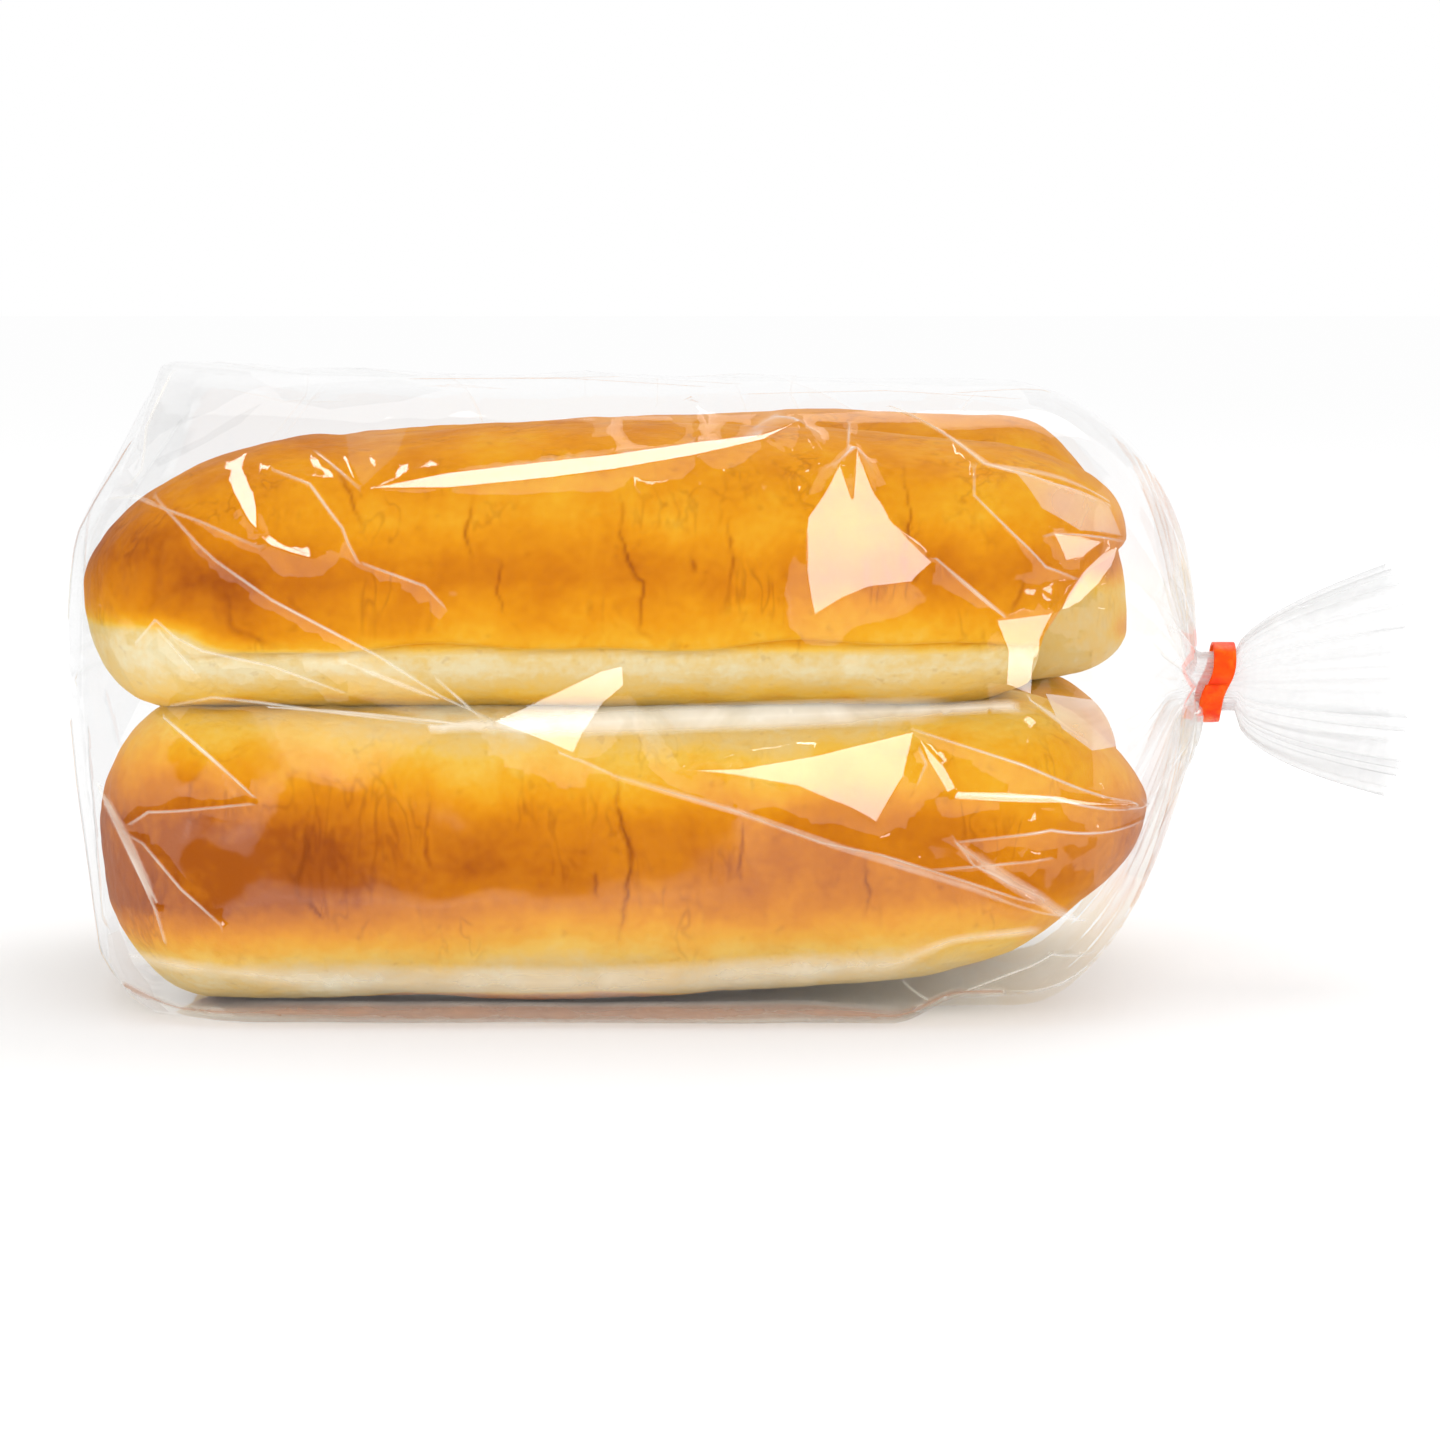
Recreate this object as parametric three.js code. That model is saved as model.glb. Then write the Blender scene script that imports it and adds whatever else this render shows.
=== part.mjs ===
// A pack of long soft rolls, two layers deep, sealed in a clear film bag that lies on its
// base. The bag's far end is gathered into pleats, tied with a narrow tape, and fans out
// into a fluted tail.
//
// Millimetres. +X runs along the pack towards the tail, +Y to the back, +Z up.
// The origin is on the ground, under the middle of the pack.
import * as THREE from 'three';

// The whole pack
const PACK_LENGTH = 204;
const BAG_DEPTH = 106;
const PEAK_HEIGHT = 94; // the top edge at the folded end
const TOP_FALL = 3; // how much lower the top edge is where the gathering starts
const LAYER_HEIGHT = 45; // where the two layers of rolls meet
const BASE_SINK = 1.2; // how far the section would dip below the ground it is flattened on

// The folded end, on the left
const END_X = -PACK_LENGTH / 2;
const END_LENGTH = 15; // along X, from the end panel to the full section
const END_LOW = 40;
const END_HIGH = 60;
const END_HALF_DEPTH = 20;

// The gathered end, the tied neck and the tail, on the right
const DOME_X = 40;
const NECK_X = 69.5;
const TAIL_X = 77.5;
const TAIL_END_X = PACK_LENGTH / 2;
const NECK_Z = 44.5;
const NECK_HALF_HEIGHT = 4.7;
const NECK_HALF_DEPTH = 3.9;
const TAIL_HALF_HEIGHT = 16.6;
const TAIL_HALF_DEPTH = 9;
const TAIL_SWEEP = 3; // how far the mouth's top and bottom corners stay behind its middle
const TAIL_DISH = 6; // how far the mouth's middle is drawn in

// Film folds
const PLEATS = 13;
const DOME_PLEAT = 0.02; // pleat depth as a share of the section's radius
const NECK_PLEAT = 0.03;
const TAIL_PLEAT = 0.15;
const WAIST_DEPTH = 2.6; // how far the film sinks in between the layers
const WAIST_SPREAD = 9;
const VALLEY_DEPTH = 1.6; // how far the top sinks in between the front and back rows
const VALLEY_SPREAD = 12;
const CREASE_SPREAD = 7;
const BODY_SQUARENESS = 5; // exponent of the section's superellipse: 2 is round
const ROUND_SQUARENESS = 2;

// Long creases in the film: from, to (x, z) and how far each one stands out
const CREASES = [
  { from: [-88, 74], to: [-22, 52], rise: 0.9 },
  { from: [-22, 38], to: [52, 16], rise: 1.0 },
  { from: [20, 86], to: [48, 60], rise: 0.8 },
  { from: [-86, 34], to: [-72, 12], rise: 0.8 },
];

// The tape, wound from its inner end to its free end at the front
const TAPE_X = 73.3;
const TAPE_WIDTH = 3.6;
const TAPE_THICKNESS = 0.4;
const TAPE_LAYER_GAP = 0.15;
const TAPE_TURNS = 1.55;
const TAPE_HALF_HEIGHT = 5.2; // of its inner side
const TAPE_HALF_DEPTH = 4.4;
const TAPE_LEAN = 1.1; // sideways swing of the band, in each turn
const TAPE_SLIP = 0.9; // how far its free end is skewed off the band

// How finely the shapes are cut
const AROUND = 64;
const END_STEPS = 7;
const BODY_STEPS = 16;
const DOME_STEPS = 11;
const NECK_STEPS = 2;
const TAIL_STEPS = 8;
const TAPE_STEPS = 72;

const FILM_COLOUR = 0xeef0f0;
const TAPE_COLOUR = 0xff4a00;

const { lerp, clamp } = THREE.MathUtils;
const bump = (distance, spread) => Math.exp(-((distance / spread) ** 2));
const steps = (count) => Array.from({ length: count }, (_, i) => (i + 1) / count);

// A closed solid through rings of points that all have the same number of points. Each
// ring turns clockwise as seen along the way the rings follow each other.
function loft(rings, startCentre, endCentre) {
  const size = rings[0].length;
  const points = [...rings.flat(), startCentre, endCentre];
  const start = points.length - 2;
  const end = points.length - 1;
  const faces = [];
  for (let j = 0; j < size; j += 1) {
    const next = (j + 1) % size;
    for (let i = 0; i + 1 < rings.length; i += 1) {
      const [a, b] = [i * size + j, i * size + next];
      const [c, d] = [b + size, a + size];
      faces.push(a, d, c, a, c, b);
    }
    const last = (rings.length - 1) * size;
    faces.push(start, j, next);
    faces.push(end, last + next, last + j);
  }
  const geometry = new THREE.BufferGeometry();
  geometry.setAttribute(
    'position',
    new THREE.Float32BufferAttribute(points.flatMap((p) => p.toArray()), 3),
  );
  geometry.setIndex(faces);
  geometry.computeVertexNormals();
  return geometry;
}

const middleOf = (ring) =>
  ring.reduce((sum, p) => sum.add(p), new THREE.Vector3()).divideScalar(ring.length);

// How far the long creases lift the film's front at a place on it
function creaseRise(x, z) {
  let rise = 0;
  for (const crease of CREASES) {
    const from = new THREE.Vector3(crease.from[0], 0, crease.from[1]);
    const to = new THREE.Vector3(crease.to[0], 0, crease.to[1]);
    const nearest = new THREE.Vector3();
    const point = new THREE.Vector3(x, 0, z);
    new THREE.Line3(from, to).closestPointToPoint(point, true, nearest);
    rise += crease.rise * Math.max(0, 1 - nearest.distanceTo(point) / CREASE_SPREAD);
  }
  return rise;
}

// One section of the bag, as a ring from the front over the top to the back
function sectionRing(section) {
  const middle = (section.low + section.high) / 2;
  const halfHeight = (section.high - section.low) / 2;
  const ring = [];
  for (let i = 0; i < AROUND; i += 1) {
    const angle = (i / AROUND) * 2 * Math.PI;
    const [across, up] = [Math.cos(angle), Math.sin(angle)];
    const n = section.square;
    const reach = (Math.abs(across) ** n + Math.abs(up) ** n) ** (-1 / n);
    const pleated = reach * (1 + section.pleat * Math.cos(PLEATS * angle));
    let y = -section.halfDepth * pleated * across;
    let z = middle + halfHeight * pleated * up;
    const soft = section.loose * across ** 2;
    y -= Math.sign(y) * soft * WAIST_DEPTH * bump(z - LAYER_HEIGHT, WAIST_SPREAD);
    y += Math.sign(y) * soft * creaseRise(section.x, z);
    z -= section.loose * Math.max(0, up) * VALLEY_DEPTH * bump(y, VALLEY_SPREAD);
    const x = section.x - section.sweep * Math.abs(up) ** 3;
    ring.push(new THREE.Vector3(x, y, Math.max(0, z)));
  }
  return ring;
}

const topAt = (x) => PEAK_HEIGHT - TOP_FALL * clamp((x - END_X) / (DOME_X - END_X), 0, 1);
const plain = { halfDepth: BAG_DEPTH / 2, square: BODY_SQUARENESS, pleat: 0, sweep: 0 };

// The folded end: an upright panel whose top edge is cut back at a slant
function endSection(share) {
  const x = END_X + END_LENGTH * share;
  const round = Math.sqrt(1 - (1 - share) ** 2);
  return {
    ...plain,
    x,
    low: lerp(END_LOW, -BASE_SINK, round),
    high: lerp(END_HIGH, topAt(x), share ** 0.8),
    halfDepth: lerp(END_HALF_DEPTH, BAG_DEPTH / 2, round),
    square: lerp(3, BODY_SQUARENESS, share),
    loose: share,
  };
}

function bodySection(share) {
  const x = lerp(END_X + END_LENGTH, DOME_X, share);
  return { ...plain, x, low: -BASE_SINK, high: topAt(x), loose: 1 };
}

// The gathered end: a dome of pleats that turns in to the neck
function domeSection(share) {
  const turn = (share * Math.PI) / 2;
  const round = Math.cos(turn);
  return {
    x: lerp(DOME_X, NECK_X, Math.sin(turn)),
    low: lerp(NECK_Z - NECK_HALF_HEIGHT, -BASE_SINK, round),
    high: lerp(NECK_Z + NECK_HALF_HEIGHT, topAt(DOME_X), round),
    halfDepth: lerp(NECK_HALF_DEPTH, BAG_DEPTH / 2, round),
    square: lerp(ROUND_SQUARENESS, BODY_SQUARENESS, round ** 2),
    pleat: lerp(0, DOME_PLEAT, share),
    loose: round ** 4,
    sweep: 0,
  };
}

function neckSection(share) {
  return {
    x: lerp(NECK_X, TAIL_X, share),
    low: NECK_Z - NECK_HALF_HEIGHT,
    high: NECK_Z + NECK_HALF_HEIGHT,
    halfDepth: NECK_HALF_DEPTH,
    square: ROUND_SQUARENESS,
    pleat: NECK_PLEAT,
    loose: 0,
    sweep: 0,
  };
}

// The tail: a fluted fan, taller than it is deep
function tailSection(share) {
  const halfHeight = lerp(NECK_HALF_HEIGHT, TAIL_HALF_HEIGHT, share ** 0.9);
  return {
    x: lerp(TAIL_X, TAIL_END_X, share),
    low: NECK_Z - halfHeight,
    high: NECK_Z + halfHeight,
    halfDepth: lerp(NECK_HALF_DEPTH, TAIL_HALF_DEPTH, share),
    square: ROUND_SQUARENESS,
    pleat: lerp(NECK_PLEAT, TAIL_PLEAT, share),
    loose: 0,
    sweep: TAIL_SWEEP * share,
  };
}

function makeBag() {
  const sections = [
    endSection(0),
    ...steps(END_STEPS).map((share) => endSection(share ** 2)),
    ...steps(BODY_STEPS).map(bodySection),
    ...steps(DOME_STEPS).map(domeSection),
    ...steps(NECK_STEPS).map(neckSection),
    ...steps(TAIL_STEPS).map(tailSection),
  ];
  const rings = sections.map(sectionRing);
  const mouth = middleOf(rings.at(-1));
  mouth.x -= TAIL_DISH;
  const material = new THREE.MeshStandardMaterial({
    color: FILM_COLOUR,
    roughness: 0.08,
    metalness: 0,
    transparent: true,
    opacity: 0.35,
  });
  const bag = new THREE.Mesh(loft(rings, middleOf(rings[0]), mouth), material);
  bag.name = 'bag';
  return bag;
}

// The tape: a flat band wound round the neck, each turn lying on the one before, with its
// free end skewed at the front
function tapeRing(turnsLeft) {
  const angle = -turnsLeft * 2 * Math.PI;
  const [across, up] = [Math.cos(angle), Math.sin(angle)];
  const lift = (TAPE_TURNS - turnsLeft) * (TAPE_THICKNESS + TAPE_LAYER_GAP);
  const swing = TAPE_LEAN * Math.sin(angle) - TAPE_SLIP * Math.max(0, 1 - 4 * turnsLeft);
  const corner = (side, rise) =>
    new THREE.Vector3(
      swing + (side * TAPE_WIDTH) / 2,
      -(TAPE_HALF_DEPTH + rise) * across,
      (TAPE_HALF_HEIGHT + rise) * up,
    );
  const outside = lift + TAPE_THICKNESS;
  return [corner(1, lift), corner(1, outside), corner(-1, outside), corner(-1, lift)];
}

function makeTape() {
  const rings = [0, ...steps(TAPE_STEPS)].map((share) =>
    tapeRing(lerp(TAPE_TURNS, 0, share)),
  );
  const material = new THREE.MeshStandardMaterial({
    color: TAPE_COLOUR,
    roughness: 0.3,
    metalness: 0,
  });
  const tape = new THREE.Mesh(loft(rings, middleOf(rings[0]), middleOf(rings.at(-1))), material);
  tape.position.set(TAPE_X, 0, NECK_Z);
  tape.name = 'tape';
  return tape;
}

const pack = new THREE.Group();
pack.add(makeBag(), makeTape());

export default pack;
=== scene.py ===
"""A pack of long soft potato buns in a clear film bag, lying on its base.

Lengths are in millimetres in this script and become metres where a mesh is made. Places
called px are points of the photograph, in its own 1440 x 1440 pixels.
"""

import math

import bmesh
import bpy
import numpy as np
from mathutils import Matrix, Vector, noise
from mathutils.geometry import delaunay_2d_cdt


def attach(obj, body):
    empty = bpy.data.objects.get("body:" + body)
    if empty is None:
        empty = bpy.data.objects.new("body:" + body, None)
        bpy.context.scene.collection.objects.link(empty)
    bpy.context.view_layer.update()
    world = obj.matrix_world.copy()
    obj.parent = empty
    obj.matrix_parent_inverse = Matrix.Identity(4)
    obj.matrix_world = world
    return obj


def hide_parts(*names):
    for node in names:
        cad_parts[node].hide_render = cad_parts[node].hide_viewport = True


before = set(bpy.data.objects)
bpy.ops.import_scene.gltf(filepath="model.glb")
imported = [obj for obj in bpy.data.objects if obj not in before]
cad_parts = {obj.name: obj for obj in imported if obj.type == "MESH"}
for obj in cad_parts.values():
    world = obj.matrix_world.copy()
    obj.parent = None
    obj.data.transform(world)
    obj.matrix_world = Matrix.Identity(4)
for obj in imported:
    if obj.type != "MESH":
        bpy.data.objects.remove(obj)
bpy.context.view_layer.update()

METRES = 0.001
rng = np.random.default_rng(11)

# ---------------------------------------------------------------- the photograph's camera
PHOTO_SIZE = 1440
SENSOR_WIDTH = 36.0
LENS = 118.6
FOCAL_PX = LENS / SENSOR_WIDTH * PHOTO_SIZE
CAMERA_AT = np.array([-3.07, -727.0, 125.0])
CAMERA_DIP = math.radians(6.79)
AHEAD = np.array([0.0, math.cos(CAMERA_DIP), -math.sin(CAMERA_DIP)])
UPWARD = np.array([0.0, math.sin(CAMERA_DIP), math.cos(CAMERA_DIP)])


def to_px(points):
    """Where points in millimetres lie in the photograph, as an array of (x, y) pixels."""
    offset = np.asarray(points, float) - CAMERA_AT
    depth = offset @ AHEAD
    x = PHOTO_SIZE / 2 + FOCAL_PX * offset[..., 0] / depth
    y = PHOTO_SIZE / 2 - FOCAL_PX * (offset @ UPWARD) / depth
    return np.stack([x, y], axis=-1)


def at_depth(px, py, y):
    """The point in millimetres behind a pixel, at depth y."""
    ray = (
        AHEAD
        + np.array([1.0, 0.0, 0.0]) * (px - PHOTO_SIZE / 2) / FOCAL_PX
        + UPWARD * (PHOTO_SIZE / 2 - py) / FOCAL_PX
    )
    return CAMERA_AT + ray * (y - CAMERA_AT[1]) / ray[1]


def make_camera():
    data = bpy.data.cameras.new("camera")
    data.lens = LENS
    data.sensor_width = SENSOR_WIDTH
    data.clip_start, data.clip_end = 0.01, 20.0
    camera = bpy.data.objects.new("camera", data)
    camera.location = CAMERA_AT * METRES
    camera.rotation_euler = (math.pi / 2 - CAMERA_DIP, 0.0, 0.0)
    bpy.context.scene.collection.objects.link(camera)
    bpy.context.scene.camera = camera


# ---------------------------------------------------------------- small tools
def lerp(a, b, t):
    return a + (b - a) * t


def smooth(low, high, value):
    """0 below low, 1 above high, with a smooth step between."""
    t = np.clip((value - low) / (high - low), 0.0, 1.0)
    return t * t * (3 - 2 * t)


def bell(distance, spread):
    return np.exp(-((distance / spread) ** 2))


def noise_at(points, scale, octaves=3, seed=0.0):
    """Fractal noise between about -1 and 1; scale is the size of its largest lumps."""
    shift = Vector((seed * 17.3, seed * 5.1, seed * 9.7))
    places = [Vector(p) / scale + shift for p in points.reshape(-1, 3)]
    return np.reshape([noise.fractal(p, 0.6, 2.0, octaves) for p in places], points.shape[:-1])


def between(x, pairs):
    """The value at x, straight between (place, value) pairs."""
    return np.interp(x, *np.array(pairs, float).T)


def cross(a, b):
    return a[..., 0] * b[..., 1] - a[..., 1] * b[..., 0]


def gaps(points, others):
    """How far each 2-D point is from the nearest of the others."""
    return np.array([np.linalg.norm(others - point, axis=1).min() for point in points])


def distance_to_path(points, path):
    """How far 2-D points lie from a polyline, how far along it, and on which side of it."""
    path = np.asarray(path, float)
    lengths = np.linalg.norm(path[1:] - path[:-1], axis=1)
    best, along, side = np.full((3, *points.shape[:-1]), 1e9)
    done = 0.0
    for start, end, length in zip(path[:-1], path[1:], lengths):
        span, offset = end - start, points - start
        share = np.clip((offset @ span) / length**2, 0, 1)
        gap = np.linalg.norm(offset - share[..., None] * span, axis=-1)
        nearer = gap < best
        best = np.where(nearer, gap, best)
        along = np.where(nearer, (done + share * length) / lengths.sum(), along)
        side = np.where(nearer, np.sign(cross(span, offset)), side)
        done += length
    return best, along, side


def triangulated(points, edges, mode=0, merge=1e-3):
    """2-D points joined into faces along given edges: places, faces and their sources."""
    out = delaunay_2d_cdt([Vector(p) for p in points], edges, [], mode, merge)
    return np.array([tuple(p) for p in out[0]]), [tuple(face) for face in out[2]], out[3]


def make_object(name, points, faces, material, masks=None):
    """A mesh object from points in millimetres, with named numbers stored on its points."""
    mesh = bpy.data.meshes.new(name)
    mesh.from_pydata([tuple(p) for p in points * METRES], [], faces)
    for mask, values in (masks or {}).items():
        layer = mesh.attributes.new(mask, "FLOAT", "POINT")
        layer.data.foreach_set("value", values.astype(np.float32).ravel())
    mesh.materials.append(material)
    mesh.validate()
    mesh.shade_smooth()
    made = bpy.data.objects.new(name, mesh)
    bpy.context.scene.collection.objects.link(made)
    return made


def face_outward(made, weld=0.0):
    """Turn an object's faces outward, after joining points closer than weld (mm)."""
    mesh = bmesh.new()
    mesh.from_mesh(made.data)
    if weld:
        bmesh.ops.remove_doubles(mesh, verts=mesh.verts, dist=weld * METRES)
    bmesh.ops.recalc_face_normals(mesh, faces=mesh.faces)
    mesh.to_mesh(made.data)
    mesh.free()


def grid_faces(rows, columns, closed):
    """Faces of a grid of points, row by row; closed joins the last column to the first."""
    faces = []
    for i in range(rows - 1):
        for j in range(columns if closed else columns - 1):
            k = (j + 1) % columns
            a, b = i * columns + j, i * columns + k
            faces.append((a, a + columns, b + columns, b))
    return faces


# ---------------------------------------------------------------- buns
# Each bun is a closed form along X. left and right are its ends, low and high its lowest
# and highest levels; an end's tip has its own level and its own reach, the length over
# which it rounds off above and below the tip. outer is the side that faces out of the
# pack: -1 the front, 1 the back. top says how far the crown sinks along X.
# rounds are the exponents of its section above and below the tip: 2 is round, more is squarer.
# base lifts its underside along X; heel_end is how far right its cut part reaches by level.
UPPER = dict(tip_left=62.0, over_left=40, over_right=20, over_power=0.5, under_left=14)
LOWER = dict(low=0.6, tip_left=27.0, tip_right=30.0, over_left=15, under_left=18, cut=None)
LEVEL = [(0, 0)]
BUNS = {
    "bun_upper_front": dict(
        UPPER, left=-97.3, right=57.5, low=44.0, high=86.2, row=-24.9, half=24.3, outer=-1,
        seed=1, tip_right=69.0, under_right=30, cut=54.2, rounds=(2.3, 3.2), base=LEVEL,
        top=[(-97, -2.5), (-60, -2.3), (-35, -0.8), (-15, -0.6), (12, -1.2), (48, -4.2)],
        heel_end=[(45, 42.5), (50, 43), (56, 44), (59, 46), (64.6, 50.5), (68.7, 58), (90, 60)],
    ),
    "bun_lower_front": dict(
        LOWER, left=-95.3, right=60.4, high=45.0, row=-25.9, half=25.3, outer=-1, seed=2,
        over_right=22, under_right=46, over_power=0.75, rounds=(3.4, 2.7), top=LEVEL,
        base=[(-30, 0), (-14, 0.4), (0, 1.4), (14, 2.0), (30, 2.4), (40, 3), (50, 6)],
    ),
    "bun_upper_rear": dict(
        UPPER, left=-92.0, right=61.5, low=42.5, high=85.0, row=24.4, half=23.8, outer=1,
        seed=3, tip_right=51.0, under_right=17, cut=52.2, rounds=(2.3, 3.0), base=LEVEL,
        top=[(-92, -3), (-45, -2.6), (13, 0), (61, -1.5)],
    ),
    "bun_lower_rear": dict(
        LOWER, left=-92.0, right=60.0, high=43.0, row=24.9, half=24.5, outer=1, seed=4,
        over_right=14, under_right=30, over_power=0.5, rounds=(3.2, 2.7), top=LEVEL, base=LEVEL,
    ),
}
FRONT_GRID, REAR_GRID = (360, 264), (240, 190)  # steps along X and round the bun
END_POWER = 0.62  # of the left end's rounding above its tip: less is blunter
HEEL_SOFTNESS = 0.7
NARROW_LEFT, NARROW_RIGHT = 26, 24  # lengths over which a bun's ends narrow
CROWDING = 0.4  # how much closer its mesh points are on its outer side
CUT_START, CUT_FULL = -84.0, -72.0  # where along X the cut side begins

# How brown the crust is at each level, from 0, cream, to 1, dark brown
BROWN_UPPER = [
    (44, 0.20), (46, 0.32), (48.5, 0.16), (51, 0.05), (53.4, 0.10), (54.6, 0.42), (58.7, 0.58),
    (64.6, 0.76), (67.5, 0.72), (73.3, 0.52), (79, 0.58), (86, 0.64),
]
BROWN_LOWER = [
    # The darkest band at the very base is partly the baked underside and partly painted contact
    # shade where the bun meets the ground
    (0.6, 0.85), (1.6, 0.75), (2.6, 0.14), (6.8, 0.12), (9.7, 0.26), (12.6, 0.43), (15.5, 0.60),
    (18.4, 0.78), (21.3, 0.84), (24.2, 0.84), (27.1, 0.81), (30, 0.75), (32.9, 0.62), (35.8, 0.45),
    (38.7, 0.3), (41.5, 0.15), (45, 0.03),
]

# Cracks and wrinkles of the front buns: px path, width and depth in mm
WRINKLE_DEPTH_Y = -50.0
WRINKLES = {
    "bun_upper_front": [
        ([(620, 498), (622, 515), (620, 530), (624, 545), (629, 564), (636, 577), (644, 585),
          (643, 600), (641, 615), (639, 630), (650, 637)], 0.55, 0.40),
        ([(160, 540), (153, 560), (152, 580), (150, 600), (141, 622)], 1.8, 0.5),
        ([(146, 608), (160, 594), (185, 586), (210, 583), (226, 585)], 2.2, 0.6),
        ([(224, 590), (228, 612), (232, 630), (245, 637), (262, 643), (285, 650)], 1.1, 0.45),
        ([(470, 500), (466, 530), (472, 560)], 0.5, 0.25),
        ([(500, 560), (497, 590), (502, 615)], 0.5, 0.25),
        ([(730, 520), (733, 560), (728, 590)], 0.5, 0.25),
        ([(688, 556), (692, 566), (698, 573)], 0.6, 0.3),
        ([(1026, 580), (1018, 600), (1012, 618)], 0.8, 0.4),
        ([(905, 470), (911, 520), (903, 570), (909, 600)], 0.5, 0.25),
        ([(330, 470), (350, 500), (362, 530)], 0.6, 0.25),
    ],
    "bun_lower_front": [
        ([(619, 778), (621, 792), (618, 802), (620, 815), (624, 826), (629, 845), (632, 862),
          (631, 872), (628, 885), (625, 900), (621, 912), (621, 925), (618, 942)], 0.6, 0.75),
        ([(307, 822), (308, 845), (302, 870), (298, 880), (301, 895), (305, 900)], 0.8, 0.6),
        ([(308, 897), (315, 908), (323, 920)], 0.5, 0.35),
        ([(286, 868), (292, 877), (298, 886)], 0.5, 0.3),
        ([(596, 870), (597, 882), (596, 895)], 0.5, 0.35),
        ([(868, 858), (865, 880), (870, 896), (867, 912)], 0.7, 0.5),
        ([(740, 820), (743, 850), (739, 880)], 0.5, 0.25),
        ([(430, 800), (426, 840), (431, 870)], 0.5, 0.2),
    ],
}
CHANCE_WRINKLES = 9  # of a rear bun
# The skin's unevenness: height and size (mm), octaves, and what it adds to the bun's seed
LUMPS = [(0.6, 34.0, 2, 0), (0.26, 11.0, 3, 10)]
RAGGED_REACH, RAGGED_SIZE = 0.45, 3.0  # how ragged the cracks are, mm
END_FINE = 12.5  # length of a bun's end with finer steps
BESIDE_WRINKLE = 1.1


def row_places(spec, wrinkles, count):
    """Places along X, closer together at the bun's ends and beside its wrinkles."""
    x = np.linspace(spec["left"], spec["right"], 4000)
    inside = np.minimum(x - spec["left"], spec["right"] - x)
    gap = np.clip(inside / END_FINE, 0.04, 1)
    for path, _, _ in wrinkles:
        xs = np.array(path)[:, 0]
        beside = (x > xs.min() - BESIDE_WRINKLE) & (x < xs.max() + BESIDE_WRINKLE)
        gap = np.where(beside, np.minimum(gap, 0.45), gap)
    order = np.cumsum(1 / gap)
    return np.interp(np.linspace(order[0], order[-1], count), order, x)


def end_rounding(gap, reach, power=0.5):
    share = np.clip(gap / reach, 0.0, 1.0)
    return (1 - (1 - share) ** 2) ** power


def bun_points(spec, x, around):
    """The bun's smooth form, as (steps, around, 3) points, closest together on its outer side."""
    x = x[:, None]
    turn = np.linspace(0, 2 * math.pi, around, endpoint=False)[None, :]
    angle = turn + CROWDING * spec["outer"] * np.sin(turn)
    across, up = np.cos(angle), np.sin(angle)
    left, right = x - spec["left"], spec["right"] - x
    middle = lerp(spec["tip_left"], spec["tip_right"], left / (spec["right"] - spec["left"]))
    over = end_rounding(left, spec["over_left"], END_POWER)
    over = over * end_rounding(right, spec["over_right"], spec["over_power"])
    under = end_rounding(left, spec["under_left"]) * end_rounding(right, spec["under_right"])
    wide = end_rounding(left, NARROW_LEFT) * end_rounding(right, NARROW_RIGHT)
    top, base = spec["high"] + between(x, spec["top"]), spec["low"] + between(x, spec["base"])
    height = np.where(up > 0, (top - middle) * over, (middle - base) * under)
    n = np.where(up > 0, *spec["rounds"])
    reach = (np.abs(across) ** n + np.abs(up) ** n) ** (-1 / n)
    y = spec["row"] - spec["half"] * wide * reach * across
    z = middle + height * reach * up
    if "heel_end" in spec:
        limit = between(z, spec["heel_end"])
        x = limit - HEEL_SOFTNESS * np.logaddexp(0, (limit - x) / HEEL_SOFTNESS)
    return np.stack(np.broadcast_arrays(x, y, z), axis=-1)


def grid_normals(points):
    """Outward normals of a grid of points that closes on itself around."""
    along = np.gradient(points, axis=0)
    around = np.roll(points, -1, axis=1) - np.roll(points, 1, axis=1)
    normals = np.cross(along, around)
    length = np.linalg.norm(normals, axis=-1, keepdims=True)
    return normals / np.maximum(length, 1e-9)


def wrinkles_of(name, spec):
    """The bun's wrinkles as ((x, z) path in mm, width, depth)."""
    if name in WRINKLES:
        return [
            ([at_depth(px, py, WRINKLE_DEPTH_Y)[[0, 2]] for px, py in path], width, depth)
            for path, width, depth in WRINKLES[name]
        ]
    chance = np.random.default_rng(spec["seed"])
    wrinkles = []
    for _ in range(CHANCE_WRINKLES):
        x = chance.uniform(spec["left"] + 15, spec["right"] - 15)
        z = lerp(spec["low"], spec["high"], chance.uniform(0.3, 0.7))
        length = chance.uniform(6, 20)
        path = [(x + chance.uniform(-0.9, 0.9), z + length * t) for t in np.linspace(-0.5, 0.5, 5)]
        wrinkles.append((path, chance.uniform(0.5, 0.9), chance.uniform(0.25, 0.7)))
    return wrinkles


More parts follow.
